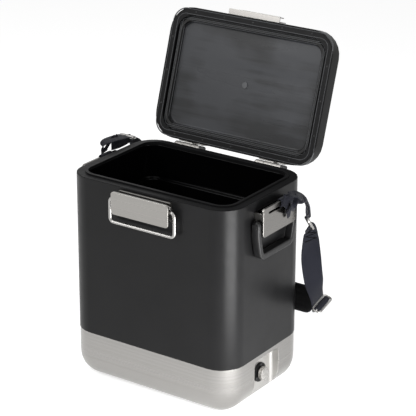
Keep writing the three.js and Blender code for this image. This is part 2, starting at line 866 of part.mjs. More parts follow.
function makeSideBracket() {
  const bottom = bracketTop - bracketHeight;
  const wallNear = sideFace + fit;
  const webZ = [bottom + webBottomRise, bracketTop - webTopDrop];
  const rim = 2 * bracketSheet;
  const pan = cut(
    alongX(
      roundedRect(bracketWidth, bracketHeight, bracketCorner, 0, bracketMiddle),
      bracketFace - bracketEdge,
      bracketFace,
    ),
    alongX(
      roundedRect(bracketWidth - rim, bracketHeight - rim, bracketCorner - bracketSheet, 0, bracketMiddle),
      bracketFace - bracketEdge - overrun,
      bracketFace - bracketSheet,
    ),
    alongX(
      roundedRect(bracketSlotWidth, bracketSlotHeight, bracketSlotHeight / 2, 0, bracketSlotZ),
      bracketFace - bracketEdge,
      bracketFace + overrun,
    ),
  );
  const webs = bothSides(webIn, webOut).map((y) => box([wallNear, bracketFace - bracketSheet / 2], y, webZ));
  return cut(
    join(pan, box([wallNear, wallNear + bracketWallSheet], [-webOut, webOut], webZ), ...webs),
    rod([handlePivotX, -webOut, handlePivotHeight], [handlePivotX, webOut, handlePivotHeight], handlePinRadius + running),
  );
}

function makeHandle() {
  const inner = sideFace + handleInnerReach;
  const outer = inner + handleDepth;
  const topZ = handlePivotHeight + handleTopRadius;
  const lowOut = legOut - handleDraw;
  const cornerZ = handleBottom + handleCorner;
  const innerCorner = Math.max(handleCorner - handleLeg, sliver);
  const innerBottom = handleBottom + handleBar;
  const lowIn = lowOut - handleLeg;
  const outline = new THREE.Shape();
  outline.moveTo(legOut, topZ);
  outline.lineTo(legIn, topZ);
  outline.lineTo(legIn, handleShoulder);
  outline.lineTo(lowIn, innerBottom + innerCorner);
  outline.absarc(lowIn - innerCorner, innerBottom + innerCorner, innerCorner, 0, -Math.PI / 2, true);
  outline.absarc(-lowIn + innerCorner, innerBottom + innerCorner, innerCorner, -Math.PI / 2, -Math.PI, true);
  outline.lineTo(-legIn, handleShoulder);
  outline.lineTo(-legIn, topZ);
  outline.lineTo(-legOut, topZ);
  outline.lineTo(-legOut, handleShoulder);
  outline.lineTo(-lowOut, cornerZ);
  outline.absarc(-lowOut + handleCorner, cornerZ, handleCorner, Math.PI, Math.PI * 1.5);
  outline.absarc(lowOut - handleCorner, cornerZ, handleCorner, Math.PI * 1.5, Math.PI * 2);
  outline.lineTo(legOut, handleShoulder);
  const side = new THREE.Shape();
  side.moveTo(inner + handleRim, handleBottom);
  side.lineTo(outer - handleRim, handleBottom);
  side.lineTo(outer, handleBottom + handleRim);
  side.absarc(handlePivotX, handlePivotHeight, handleTopRadius, 0, Math.PI);
  side.lineTo(inner, handleBottom + handleRim);
  const pinHole = rod(
    [handlePivotX, -legOut - overrun, handlePivotHeight],
    [handlePivotX, legOut + overrun, handlePivotHeight],
    handlePinRadius + running,
  );
  return cut(common(alongX(outline, inner, outer), alongY(side, -legOut, legOut)), pinHole);
}

function makeHandlePin(side) {
  const from = side * (webIn - handlePinHeadLength / 2);
  const head = side * (legOut + fit);
  const tip = side * (legOut + fit + handlePinHeadLength);
  return join(
    rod([handlePivotX, from, handlePivotHeight], [handlePivotX, head, handlePivotHeight], handlePinRadius),
    rod([handlePivotX, head, handlePivotHeight], [handlePivotX, tip, handlePivotHeight], handlePinHeadRadius),
  );
}

// Drain fittings

const linerSide = sideFace - linerInset - ledgeStep;
const flangeBack = pocketFloor + fit;
const flangeFace = flangeBack + drainFlangeThickness;
const sealFace = flangeFace + fit + sealThickness;
const knobBack = sealFace + fit;

function makeDrainBody() {
  const start = linerSide - fit - drainNutThickness;
  return turnedAlongX(
    [
      [start, drainBoreRadius],
      [start, drainTubeRadius],
      [flangeBack, drainTubeRadius],
      [flangeBack, drainFlangeRadius],
      [flangeFace, drainFlangeRadius],
      [flangeFace, drainBoreRadius],
      [start, drainBoreRadius],
    ],
    0,
    drainHeight,
    roundSides,
  );
}

function makeDrainNut() {
  const end = linerSide - fit;
  const start = end - drainNutThickness;
  return cut(
    rod([start, 0, drainHeight], [end, 0, drainHeight], drainNutRadius, nutSides),
    drainHole(drainTubeRadius + fit, start - overrun, end + overrun),
  );
}

function makeDrainSeal() {
  const start = flangeFace + fit;
  return cut(drainHole(sealRadius, start, sealFace), drainHole(drainBoreRadius, start - overrun, sealFace + overrun));
}

function makeDrainKnob() {
  const peak = sideFace + knobPeak;
  const neckEnd = knobBack + knobNeckLength;
  return turnedAlongX(
    [
      [knobBack - knobStemLength, 0],
      [knobBack - knobStemLength, knobStemRadius],
      [knobBack, knobStemRadius],
      [knobBack, knobNeckRadius],
      [neckEnd, knobNeckRadius],
      [neckEnd, knobRadius],
      [peak - knobCone, knobRadius],
      [peak, 0],
    ],
    0,
    drainHeight,
    roundSides,
  );
}

// Strap. Each station has a place, the direction across the webbing there and the webbing's width.
// A ring or glide has its middle and the directions of its length and depth.

const rightTabRun = [
  { at: [194, 20, 385], across: [0, 1, 0], width: 20 },
  { at: [200, 25, 388.5], across: [-0.4, 0.9, 0], width: 22 },
  { at: [203, 36, 387.5], across: [-0.7, 0.6, 0.1], width: 24 },
  { at: [204.5, 49, 381], across: [-0.9, 0.3, 0.1], width: 26 },
  { at: [205.3, 60, 371.5], across: [-1, 0.1, 0], width: 28 },
  { at: [205.8, 68.5, 358], across: [-0.95, 0.2, 0.1], width: 27 },
  { at: [206, 73, 343], across: [-0.7, 0.6, 0.4], width: 24 },
  { at: [206.45, 75.5, 334.3], across: [-0.6, 0.7, 0.5], width: 20 },
];

const rightTabTail = [
  { at: [197.6, 18, 379], across: [0, 1, 0], width: 24 },
  { at: [200.4, 18, 371], across: [0, 1, 0], width: 20 },
  { at: [200.8, 20, 360], across: [0, 1, 0], width: 14 },
  { at: [199.4, 22, 346], across: [0, 1, 0], width: 7 },
];

const leftTabRun = [
  { at: [-197, 18, 385], across: [0, 1, 0], width: 22 },
  { at: [-200, 17, 392], across: [-0.3, 0.9, 0], width: 14 },
  { at: [-201, 20, 399.5], across: [-0.9, 0.3, 0], width: 16 },
  { at: [-200.5, 34, 402], across: [-1, 0, 0], width: 26 },
  { at: [-200, 60, 400.5], across: [-1, 0, 0], width: 30 },
  { at: [-200, 84.3, 397.4], across: [-1, 0, 0], width: 30 },
];

const strapRun = [
  { at: [206.8, 83.7, 303.2], across: [-0.1, 1, -0.25], width: 32 },
  { at: [209, 82.3, 287], across: [0.12, 1, -0.1], width: 35 },
  { at: [214, 77.5, 251], across: [0.6, 0.8, 0], width: strapWidth },
  { at: [220, 77.6, 213.5], across: [0.5, 0.87, 0], width: strapWidth },
  { at: [225, 79.5, 188], across: [0.1, 1, 0], width: strapWidth },
  { at: [227.4, 81, 173], across: [0, 1, 0.1], width: strapWidth },
  { at: [223.5, 85, 160], across: [0, 0.95, 0.3], width: strapWidth },
  { at: [212, 98, 151.5], across: [-0.2, 0.6, 0.8], width: strapWidth },
  { at: [204, 118, 148.5], across: [0, 0.2, 1], width: strapWidth },
  { at: [196, 136.5, 146], across: [0, 0, 1], width: strapWidth },
  { at: [184, 141.3, 144.5], across: [0, 0, 1], width: strapWidth },
  { at: [170, 140.6, 143.5], across: [0, 0, 1], width: strapWidth },
  { at: [150, 140.5, 143], across: [0, 0, 1], width: strapWidth },
  { at: [50, 140.5, 142], across: [0, 0, 1], width: strapWidth },
  { at: [-60, 140.5, 142], across: [0, 0, 1], width: strapWidth },
  { at: [-140, 140.5, 150], across: [0.15, 0, 1], width: strapWidth },
  { at: [-178, 139.5, 178], across: [0.7, 0, 0.7], width: strapWidth },
  { at: [-197, 137, 225], across: [1, 0, 0.2], width: strapWidth },
  { at: [-201, 134, 290], across: [1, 0, 0], width: strapWidth },
  { at: [-201, 128, 345], across: [1, 0, 0], width: 36 },
  { at: [-200.5, 116, 381], across: [1, 0, 0], width: 32 },
  { at: [-200, 102.4, 391.6], across: [1, 0, 0], width: 30 },
];

const rightRing = { centre: [206.8, 79.6, 318.6], along: [0, 0.62, -0.79], across: [-0.81, 0.45, 0.37] };
const leftRing = { centre: [-200, 93, 394.5], along: [1, 0, 0], across: [0, 1, -0.35] };
const glide = { centre: [232, 81, 173], along: [0, 1, 0.1], across: [1, 0, -0.3] };

// Webbing through its stations, on smooth curves.
function ribbon(stations) {
  const vector = (key) => stations.map((station) => new THREE.Vector3(...station[key]));
  const middle = new THREE.CatmullRomCurve3(vector("at"), false, "centripetal");
  const across = new THREE.CatmullRomCurve3(vector("across"));
  const steps = (stations.length - 1) * ribbonSteps;
  const rings = [];
  for (let i = 0; i <= steps; i++) {
    const t = i / steps;
    const place = t * (stations.length - 1);
    const before = Math.min(Math.floor(place), stations.length - 2);
    const width = THREE.MathUtils.lerp(stations[before].width, stations[before + 1].width, place - before);
    const centre = middle.getPoint(t);
    const along = middle.getTangent(t);
    const side = across.getPoint(t);
    side.addScaledVector(along, -side.dot(along)).setLength(width / 2);
    const up = along.clone().cross(side).setLength(strapThickness / 2);
    rings.push(
      [[1, 1], [-1, 1], [-1, -1], [1, -1]].map(([s, u]) =>
        centre.clone().addScaledVector(side, s).addScaledVector(up, u),
      ),
    );
  }
  return loft(rings);
}

// The loop round the top of a bracket, through its slot.
function makeTabLoop(side) {
  const inner = bracketFace - bracketEdge - loopGap;
  const outer = bracketFace + loopGap;
  const low = bracketSlotZ + loopThickness / 2;
  const high = bracketTop + loopGap + loopThickness / 2;
  const outline = (grow) =>
    roundedRect(
      outer - inner + 2 * grow,
      high - low + 2 * grow,
      loopCorner + grow,
      (side * (inner + outer)) / 2,
      (high + low) / 2,
    );
  const near = loopMiddle - loopWidth / 2;
  const far = loopMiddle + loopWidth / 2;
  return cut(alongY(outline(loopThickness), near, far), alongY(outline(0), near - overrun, far + overrun));
}

// A flat outline turned so that its x and y run along two directions, its thickness centred on a point.
function tilted(shape, thickness, centre, along, across) {
  const u = new THREE.Vector3(...along).normalize();
  const v = new THREE.Vector3(...across).normalize();
  v.addScaledVector(u, -v.dot(u)).normalize();
  const n = u.clone().cross(v);
  const basis = new THREE.Matrix4().makeBasis(u, v, n).setPosition(...centre);
  return solid(extruded(shape, thickness).translate(0, 0, -thickness / 2).applyMatrix4(basis));
}

function makeRing({ centre, along, across }) {
  const outline = roundedRect(ringLength, ringDepth, ringCorner + ringWire / 2);
  outline.holes.push(roundedRect(ringLength - 2 * ringWire, ringDepth - 2 * ringWire, ringCorner / 2));
  return tilted(outline, ringWire, centre, along, across);
}

function makeGlide({ centre, along, across }) {
  const outline = roundedRect(glideLength, glideDepth, ringCorner);
  const slotDepth = (glideDepth - 3 * glideBar) / 2;
  const slotShift = (slotDepth + glideBar) / 2;
  const slotLength = glideLength - 2 * glideBar;
  outline.holes.push(roundedRect(slotLength, slotDepth, glideSlotCorner, 0, slotShift));
  outline.holes.push(roundedRect(slotLength, slotDepth, glideSlotCorner, 0, -slotShift));
  return tilted(outline, glideSheet, centre, along, across);
}

function makePad() {
  const [x, y, z] = padMiddle;
  const stand = new THREE.Matrix4().makeBasis(xAxis, zAxis.clone().negate(), yAxis);
  stand.setPosition(x, y - padThickness / 2, z);
  const rings = drawnRings({
    width: padLength,
    depth: padWidth,
    corner: padCorner,
    bottom: 0,
    top: padThickness,
    bottomEdge: padEdge,
    topEdge: padEdge,
  });
  return loft(rings.map((ring) => ring.map((p) => p.applyMatrix4(stand))));
}

// The cooler put together

addPiece("outer_shell", makeShell(), blackPaint);
addPiece("steel_base", makeBase(), steel);
addPiece("insulation_core", makeInsulation(), foam);
addPiece("inner_liner", makeLiner(), blackPlastic);
addPiece("rim_collar", makeCollar(), blackPaint);

addPiece("lid_shell", makeLidShell(), blackPaint, closedLid);
addPiece("lid_ring", makeLidRing(), blackPlastic, closedLid);
addPiece("lid_inner_panel", makeLidPanel(), greyPlastic, closedLid);
addPiece("lid_foam_core", makeLidFoam(), foam, closedLid);
addPiece("lid_gasket", makeGasket(), rubber, closedLid);
addPiece("lid_port_plug", makePortPlug(), blackPlastic, closedLid);
addPiece("lid_catch", makeCatch(), steel, closedLid);

[["right", 1], ["left", -1]].forEach(([name, side]) => {
  addPiece("hinge_body_leaf_" + name, makeBodyLeaf(), steel).position.x = side * hingeOffset;
  addPiece("hinge_pin_" + name, makeHingePin(), blackPaint).position.x = side * hingeOffset;
  addPiece("hinge_lid_leaf_" + name, makeLidLeaf(), steel, closedLid).position.x = side * hingeOffset;
});

addPiece("latch_bracket", makeLatchBracket(), steel);
addPiece("latch_hinge_pin", makeLatchPin(), bright);
addPiece("latch_lever", makeLever(), steel);
addPiece("latch_bail", makeBail(), bright);

[["right", 1], ["left", -1]].forEach(([name, side]) => {
  addPiece("side_bracket_" + name, makeSideBracket(), steel).scale.x = side;
  addPiece("handle_" + name, makeHandle(), blackPaint).scale.x = side;
  addPiece("handle_pin_" + name + "_front", makeHandlePin(-1), bright).scale.x = side;
  addPiece("handle_pin_" + name + "_back", makeHandlePin(1), bright).scale.x = side;
});

addPiece("drain_body", makeDrainBody(), blackPlastic);
addPiece("drain_nut", makeDrainNut(), blackPlastic);
addPiece("drain_seal", makeDrainSeal(), rubber);
addPiece("drain_knob", makeDrainKnob(), steel);

addPiece("strap_tab_right", join(makeTabLoop(1), ribbon(rightTabRun), ribbon(rightTabTail)), webbing);
addPiece("strap_ring_right", makeRing(rightRing), bright);
addPiece("strap_webbing", ribbon(strapRun), webbing);
addPiece("tri_glide", makeGlide(glide), bright);
addPiece("shoulder_pad", makePad(), webbing);
addPiece("strap_ring_left", makeRing(leftRing), bright);
addPiece("strap_tab_left", join(makeTabLoop(-1), ribbon(leftTabRun)), webbing);

export default cooler;
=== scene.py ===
import json
import math

import bpy
from mathutils import Matrix, Vector


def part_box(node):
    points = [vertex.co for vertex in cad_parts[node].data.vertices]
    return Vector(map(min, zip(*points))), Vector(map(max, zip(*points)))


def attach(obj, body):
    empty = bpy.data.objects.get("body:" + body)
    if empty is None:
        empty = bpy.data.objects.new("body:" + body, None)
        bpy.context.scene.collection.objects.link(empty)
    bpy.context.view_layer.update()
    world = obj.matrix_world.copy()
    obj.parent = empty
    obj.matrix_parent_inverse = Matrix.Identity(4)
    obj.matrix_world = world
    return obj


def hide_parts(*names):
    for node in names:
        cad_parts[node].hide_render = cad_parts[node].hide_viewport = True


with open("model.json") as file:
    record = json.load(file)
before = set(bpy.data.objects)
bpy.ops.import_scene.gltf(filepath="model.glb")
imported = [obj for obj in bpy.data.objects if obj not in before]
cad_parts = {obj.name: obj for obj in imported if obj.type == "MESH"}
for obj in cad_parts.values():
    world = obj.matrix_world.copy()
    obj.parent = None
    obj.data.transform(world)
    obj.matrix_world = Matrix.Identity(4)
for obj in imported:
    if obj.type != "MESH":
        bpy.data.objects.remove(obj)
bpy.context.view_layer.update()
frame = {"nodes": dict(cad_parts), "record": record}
nodes = frame["nodes"]
scene = bpy.context.scene

MM = 0.001
CORNER_SIGNS = ((-1, -1), (1, -1), (1, 1), (-1, 1))

# Camera, solved from the box's edges in the photograph
CAMERA_PLACE = Vector((1.7415, -2.46994, 1.5073))
CAMERA_HEADING = math.radians(34.472)
CAMERA_TILT = math.radians(-21.355)
CAMERA_ROLL = math.radians(0.25)
CAMERA_LENS = 157.94

# Studio
BACKDROP_LIGHT = 1.0  # what the camera and gloss see of the surroundings
ROOM_LIGHT = 0.4  # what lights the object from all round
FLOOR_SIZE = 12.0
FLOOR_WHITE = 0.8
FLOOR_LIFT = 0.56  # added where the camera looks at the floor
LAMPS = (  # name, place, target, size, power
    ("key", (-1.1, -2.2, 1.9), (0, 0, 0.25), (1.3, 1.3), 30),
    ("fill", (2.4, -0.4, 1.2), (0, 0, 0.2), (1.0, 1.6), 15),
    ("top", (-0.5, -0.3, 2.4), (0, 0, 0.3), (1.2, 1.2), 14),
    ("corner", (0.56, -0.245, 0.155), (0.165, -0.106, 0.155), (0.36, 0.29), 4.4),
)

# Edges of the CAD nodes
EDGE_RADIUS = 0.35 * MM
POCKET_EDGE = 1.6 * MM
EDGE_RADII = {
    "steel_base": POCKET_EDGE,
    "inner_liner": 1.6 * MM,
    "side_bracket_right": 0.8 * MM,
    "side_bracket_left": 0.8 * MM,
    "latch_lever": 0.7 * MM,
}
EDGE_ANGLE = math.radians(38)
FLAT_ANGLE = math.radians(1)
WELD = 0.002 * MM

# Drain pocket in the base's right side
POCKET_LOW = (0.15, -0.0397, 0.0)
POCKET_HIGH = (0.1734, 0.0397, 0.0857)
POCKET_EDGE_FROM_X = 0.165
POCKET_EDGE_TO_Z = 0.09
# Paler steel colour inside the pocket: painted light for what its walls reflect
POCKET_PAINTED_LIGHT = (0.46, 0.452, 0.438)
POCKET_DULLNESS = 0.2  # added to the roughness inside it

# Nodes with a variant of their slot's material. The lid's paint and the half-shade and deep-shade fitting
# steels are darker copies of one finish: painted shade.
OWN_LOOK = {
    "lid_shell": "black_paint_lid",
    "rim_collar": "rim_plastic_deck",
    "lid_port_plug": "port_plug",
    # The latch bracket and the catch take darker copies of the fitting steel: painted shade
    "latch_bracket": "fitting_steel_dull",
    "lid_catch": "fitting_steel_mid",
    "drain_knob": "fitting_steel_turned",
}
# Hinge leaves and side brackets take the half-shade copy of the fitting steel: painted shade
for part in ("hinge_body_leaf", "hinge_lid_leaf", "side_bracket"):
    for side in ("right", "left"):
        OWN_LOOK[part + "_" + side] = "fitting_steel_mid"


def add_object(name, data):
    thing = bpy.data.objects.new(name, data)
    scene.collection.objects.link(thing)
    return thing


def combine(tree, operation, a, b):
    """A sum, product or comparison of two numbers or outputs of nodes."""
    both = tree.nodes.new("ShaderNodeMath")
    both.operation = operation
    for socket, value in zip(both.inputs, (a, b)):
        if isinstance(value, (int, float)):
            socket.default_value = value
        else:
            tree.links.new(value, socket)
    return both.outputs[0]


# Camera and light


def make_camera():
    data = bpy.data.cameras.new("camera")
    data.lens = CAMERA_LENS
    camera = add_object("camera", data)
    turn = (
        Matrix.Rotation(CAMERA_HEADING, 4, "Z")
        @ Matrix.Rotation(math.pi / 2 + CAMERA_TILT, 4, "X")
        @ Matrix.Rotation(CAMERA_ROLL, 4, "Z")
    )
    camera.matrix_world = Matrix.Translation(CAMERA_PLACE) @ turn
    scene.camera = camera


def make_lamp(name, place, target, size, power):
    data = bpy.data.lights.new(name, "AREA")
    data.shape = "RECTANGLE"
    data.size, data.size_y = size
    data.energy = power
    lamp = add_object(name, data)
    aim = (Vector(target) - Vector(place)).to_track_quat("-Z", "Y")
    lamp.matrix_world = Matrix.LocRotScale(Vector(place), aim, None)


def seen_or_mirrored(tree):
    """1 for rays of the camera, of gloss and of clear pieces, else 0."""
    path = tree.nodes.new("ShaderNodeLightPath")
    total = path.outputs["Is Camera Ray"]
    for other in ("Is Glossy Ray", "Is Transmission Ray"):
        total = combine(tree, "MAXIMUM", total, path.outputs[other])
    return total


def make_world():
    world = bpy.data.worlds.new("studio")
    world.use_nodes = True
    scene.world = world
    tree = world.node_tree
    strength = tree.nodes.new("ShaderNodeMapRange")
    strength.inputs["To Min"].default_value = ROOM_LIGHT
    strength.inputs["To Max"].default_value = BACKDROP_LIGHT
    tree.links.new(seen_or_mirrored(tree), strength.inputs["Value"])
    background = tree.nodes["Background"]
    background.inputs["Color"].default_value = (1, 1, 1, 1)
    tree.links.new(strength.outputs["Result"], background.inputs["Strength"])


def make_floor():
    half = FLOOR_SIZE / 2
    mesh = bpy.data.meshes.new("floor")
    mesh.from_pydata([(sx * half, sy * half, 0) for sx, sy in CORNER_SIGNS], [], [(0, 1, 2, 3)])
    floor = add_object("floor", mesh)
    material = bpy.data.materials.new("floor_white")
    material.use_nodes = True
    tree = material.node_tree
    add, link = tree.nodes.new, tree.links.new
    tree.nodes.clear()
    white = add("ShaderNodeBsdfDiffuse")
    white.inputs["Color"].default_value = (FLOOR_WHITE, FLOOR_WHITE, FLOOR_WHITE, 1)
    glow = add("ShaderNodeEmission")
    lift = combine(tree, "MULTIPLY", seen_or_mirrored(tree), FLOOR_LIFT)
    both = add("ShaderNodeAddShader")
    out = add("ShaderNodeOutputMaterial")
    link(lift, glow.inputs["Strength"])
    link(white.outputs[0], both.inputs[0])
    link(glow.outputs[0], both.inputs[1])
    link(both.outputs[0], out.inputs["Surface"])
    mesh.materials.append(material)


# Materials

PAINT_SHADE, PAINT_GLOSS = (14, 4, 0.92, 1.1), (60, 5, 0.33, 0.39)
PAINT_GRAIN = ((1100, 3, 0.05 * MM, 0.5), (260, 2, 0.03 * MM, 0.2))
MOULDED_SHADE, DECK_GLOSS = (20, 4, 0.9, 1.1), (90, 4, 0.34, 0.42)
MOULDED_GRAIN = (1400, 3, 0.04 * MM, 0.6)

# Colour, specular level, then patterns as scale, detail and two ends: of shade, of roughness
# (or one plain roughness), and of each relief its depth and strength
PLAIN_LOOKS = {
    "black_paint": ((0.0075, 0.0075, 0.007875), 0.16, PAINT_SHADE, PAINT_GLOSS, *PAINT_GRAIN),
    # The lid's copy of the body's paint, made darker: painted shade
    "black_paint_lid": ((0.0045, 0.0045, 0.004725), 0.1, PAINT_SHADE, PAINT_GLOSS, *PAINT_GRAIN),
    "rim_plastic": ((0.006, 0.006, 0.0064), 0.09, MOULDED_SHADE, DECK_GLOSS, MOULDED_GRAIN),
    "rim_plastic_deck": ((0.008, 0.008, 0.0084), 0.05, MOULDED_SHADE, DECK_GLOSS, MOULDED_GRAIN),
    "liner_plastic": (
        (0.0012, 0.0012, 0.0014), 0.09, MOULDED_SHADE, (90, 4, 0.13, 0.17), (1400, 3, 0.002 * MM, 0.6)
    ),
    "black_metal": (
        (0.0088, 0.0088, 0.0092), 0.33, (40, 4, 0.85, 1.2), (150, 4, 0.3, 0.4), (1500, 3, 0.04 * MM, 0.5)
    ),
    # The plug's own lighter grey, also given to the lid's ribs as a painted highlight
    "port_plug": ((0.05, 0.052, 0.056), 0.4, (200, 3, 0.85, 1.15), 0.4, (1200, 3, 0.03 * MM, 0.6)),
    "foam": ((0.66, 0.58, 0.36), 0.5, (60, 5, 0.85, 1.1), 0.9, (700, 4, 0.2 * MM, 0.6)),
    "rubber": ((0.016, 0.016, 0.016), 0.3, (80, 4, 0.8, 1.2), 0.75, (900, 4, 0.06 * MM, 0.5)),
    "thread": ((0.002, 0.002, 0.0024), 0.1, (1500, 2, 0.7, 1.5), 0.7, (2500, 2, 0.05 * MM)),
}

# Colour, and the roughness from its low to its high
FITTING_LOOKS = {
    "fitting_steel": ((0.285, 0.276, 0.262), 0.26, 0.28),
    # The same steel made darker as painted shade: deep for the latch bracket behind the lever, half for
    # catch, hinges and side brackets
    "fitting_steel_dull": ((0.105, 0.101, 0.096), 0.34, 0.38),
    "fitting_steel_mid": ((0.215, 0.208, 0.198), 0.26, 0.28),
}

# Colour, periods across and along, depth of the weave and sheen
WOVEN_LOOKS = {
    "webbing": ((0.0112, 0.012, 0.0182), 1.5 * MM, 1.9 * MM, 0.35 * MM, 0.12),
    "pad_fabric": ((0.0012, 0.0012, 0.0014), 0.9 * MM, 0.9 * MM, 0.15 * MM, 0.02),
}


class Look:
    """A material whose colour, roughness and height come from its own patterns."""

    def __init__(self, name, colour, roughness, metallic=0.0, **sockets):
        self.material = bpy.data.materials.new(name)
        self.material.use_nodes = True
        self.tree = self.material.node_tree
        self.shader = self.tree.nodes["Principled BSDF"]
        self.colour = colour
        self.shader.inputs["Base Color"].default_value = (*colour, 1)
        self.shader.inputs["Roughness"].default_value = roughness
        self.shader.inputs["Metallic"].default_value = metallic
        for socket, value in sockets.items():
            self.shader.inputs[socket.replace("_", " ")].default_value = value
        self.height = None

    def add(self, kind, **values):
        node = self.tree.nodes.new("ShaderNode" + kind)
        for key, value in values.items():
            setattr(node, key, value)
        return node

    def link(self, source, target):
        self.tree.links.new(source, target)

    def place(self, stretch=(1, 1, 1), by="Object"):
        """Coordinates of the surface, stretched along each axis."""
        where = self.add("TexCoord")
        mapping = self.add("Mapping")
        mapping.inputs["Scale"].default_value = stretch
        self.link(where.outputs[by], mapping.inputs["Vector"])
        return mapping.outputs["Vector"]

    def noise(self, scale, detail=2.0, stretch=(1, 1, 1), by="Object"):
        cloud = self.add("TexNoise")
        cloud.inputs["Scale"].default_value = scale
        cloud.inputs["Detail"].default_value = detail
        self.link(self.place(stretch, by), cloud.inputs["Vector"])
        return cloud.outputs["Fac"]

    def waves(self, period, direction):
        """Rounded ridges of one period, in metres, along one axis of the UV."""
        band = self.add("TexWave", wave_type="BANDS", bands_direction=direction)
        band.inputs["Scale"].default_value = math.pi / 10 / period
        self.link(self.place(by="UV"), band.inputs["Vector"])
        return band.outputs["Fac"]

    def combine(self, operation, a, b):
        return combine(self.tree, operation, a, b)

    def span(self, pattern, low, high, from_low=0.35, from_high=0.65):
        """The pattern's values, brought to between low and high."""
        to = self.add("MapRange")
        for socket, limit in zip(to.inputs[1:5], (from_low, from_high, low, high)):
            socket.default_value = limit
        self.link(pattern, to.inputs["Value"])
        return to.outputs["Result"]

    def shade(self, pattern, darker, lighter):
        """The colour goes from darker to lighter times itself over the pattern."""
        mix = self.add("Mix", data_type="RGBA")
        mix.inputs["A"].default_value = (*[c * darker for c in self.colour], 1)
        mix.inputs["B"].default_value = (*[c * lighter for c in self.colour], 1)
        self.link(self.span(pattern, 0, 1), mix.inputs["Factor"])
        self.link(mix.outputs["Result"], self.shader.inputs["Base Color"])

    def rough(self, pattern, low, high):
        self.link(self.span(pattern, low, high), self.shader.inputs["Roughness"])

    def within(self, low, high):
        """1 inside a box of the frame, else 0."""
        place = self.add("SeparateXYZ")
        self.link(self.add("TexCoord").outputs["Object"], place.inputs[0])
        total = 1
        for axis, least, most in zip(place.outputs, low, high):
            above = self.combine("GREATER_THAN", axis, least)
            below = self.combine("LESS_THAN", axis, most)
            total = self.combine("MULTIPLY", total, self.combine("MULTIPLY", above, below))
        return total

    def relief(self, pattern, depth, strength=1.0):
        bump = self.add("Bump")
        bump.inputs["Distance"].default_value = depth
        bump.inputs["Strength"].default_value = strength
        self.link(pattern, bump.inputs["Height"])
        if self.height:
            self.link(self.height, bump.inputs["Normal"])
        self.height = bump.outputs["Normal"]
        self.link(self.height, self.shader.inputs["Normal"])


def make_plain(name, colour, level, shade, rough, *reliefs):
    """A material of one colour with soft patterns of shade, gloss and relief."""
    patchy = isinstance(rough, tuple)
    look = Look(name, colour, sum(rough[2:]) / 2 if patchy else rough, Specular_IOR_Level=level)
    look.shade(look.noise(*shade[:2]), *shade[2:])
    if patchy:
        look.rough(look.noise(*rough[:2]), *rough[2:])
    for relief in reliefs:
        look.relief(look.noise(*relief[:2]), *relief[2:])
    return look.material


def make_brushed(name, colour, low, high, stretch, depth=0.006 * MM, contrast=0.06):
    """Steel with fine lines, and broader soft streaks that run the same way."""
    look = Look(name, colour, (low + high) / 2, 1.0)
    lines = look.noise(1, 1.5, stretch)
    streaks = look.noise(1, 1, tuple(s / 6 for s in stretch))
    both = look.combine("ADD", look.span(lines, 0.3, 0.7), look.span(streaks, -0.15, 0.15))
    look.shade(both, 1 - contrast, 1 + contrast)
    look.rough(streaks, low, high)
    look.relief(lines, depth)
    return look


def make_fitting(name, colour, low, high):
    """Satin steel, nearly plain, of latch, catch, hinges and brackets."""
    return make_brushed(name, colour, low, high, (6, 6, 480), 0.001 * MM, 0.015).material


def make_base_steel():
    """The brushed pan. Its drain pocket is painted paler, a painted highlight for the light its walls
    reflect, and is less glossy.
    """
    look = make_brushed("brushed_steel", (0.30, 0.292, 0.281), 0.24, 0.28, (1.2, 1.2, 380), contrast=0.035)
    inside = look.within(POCKET_LOW, POCKET_HIGH)
    # Paler colour inside the pocket: painted light
    painted_light = look.add("Mix", data_type="RGBA")
    old = look.shader.inputs["Base Color"].links[0].from_socket
    look.link(inside, painted_light.inputs["Factor"])
    look.link(old, painted_light.inputs["A"])
    painted_light.inputs["B"].default_value = (*POCKET_PAINTED_LIGHT, 1)
    look.link(painted_light.outputs["Result"], look.shader.inputs["Base Color"])
    roughness = look.shader.inputs["Roughness"].links[0].from_socket
    duller = look.combine("ADD", roughness, look.combine("MULTIPLY", inside, POCKET_DULLNESS))
    look.link(duller, look.shader.inputs["Roughness"])
    return look.material


def make_turned_steel():
    """Satin steel turned on a lathe: its gloss runs in rays from the middle of the face."""
    colour = (0.4, 0.39, 0.375)
    look = make_brushed("fitting_steel_turned", colour, 0.26, 0.32, (900, 900, 900), contrast=0.03)
    look.shader.inputs["Anisotropic"].default_value = 0.85
    around = look.add("Tangent", direction_type="RADIAL", axis="X")
    look.link(around.outputs["Tangent"], look.shader.inputs["Tangent"])
    return look.material


def make_polished():
    look = Look("bright_steel", (0.35, 0.343, 0.333), 0.28, 1.0)
    look.rough(look.noise(120, 4), 0.25, 0.32)
    look.relief(look.noise(500, 3), 0.01 * MM, 0.4)
    return look.material


def make_panel():
    """Dark grey plastic whose colour carries soft streaks and clouds across the lid: painted reflections."""
    look = Look("lid_panel", (0.022, 0.0232, 0.026), 0.34, Specular_IOR_Level=0.26)
    streaks = look.noise(1, 4, (5, 70, 70))
    reflection_clouds = look.noise(6.5, 3)
    both = look.combine("ADD", look.span(streaks, 0.35, 0.65), look.span(reflection_clouds, -0.3, 0.3))
    # Painted reflections: the colour goes darker to lighter over the streaks and clouds
    look.shade(both, 0.45, 1.45)
    look.rough(look.noise(1, 3, (4, 40, 40)), 0.26, 0.42)
    look.relief(look.noise(1100, 3), 0.03 * MM, 0.6)
    return look.material


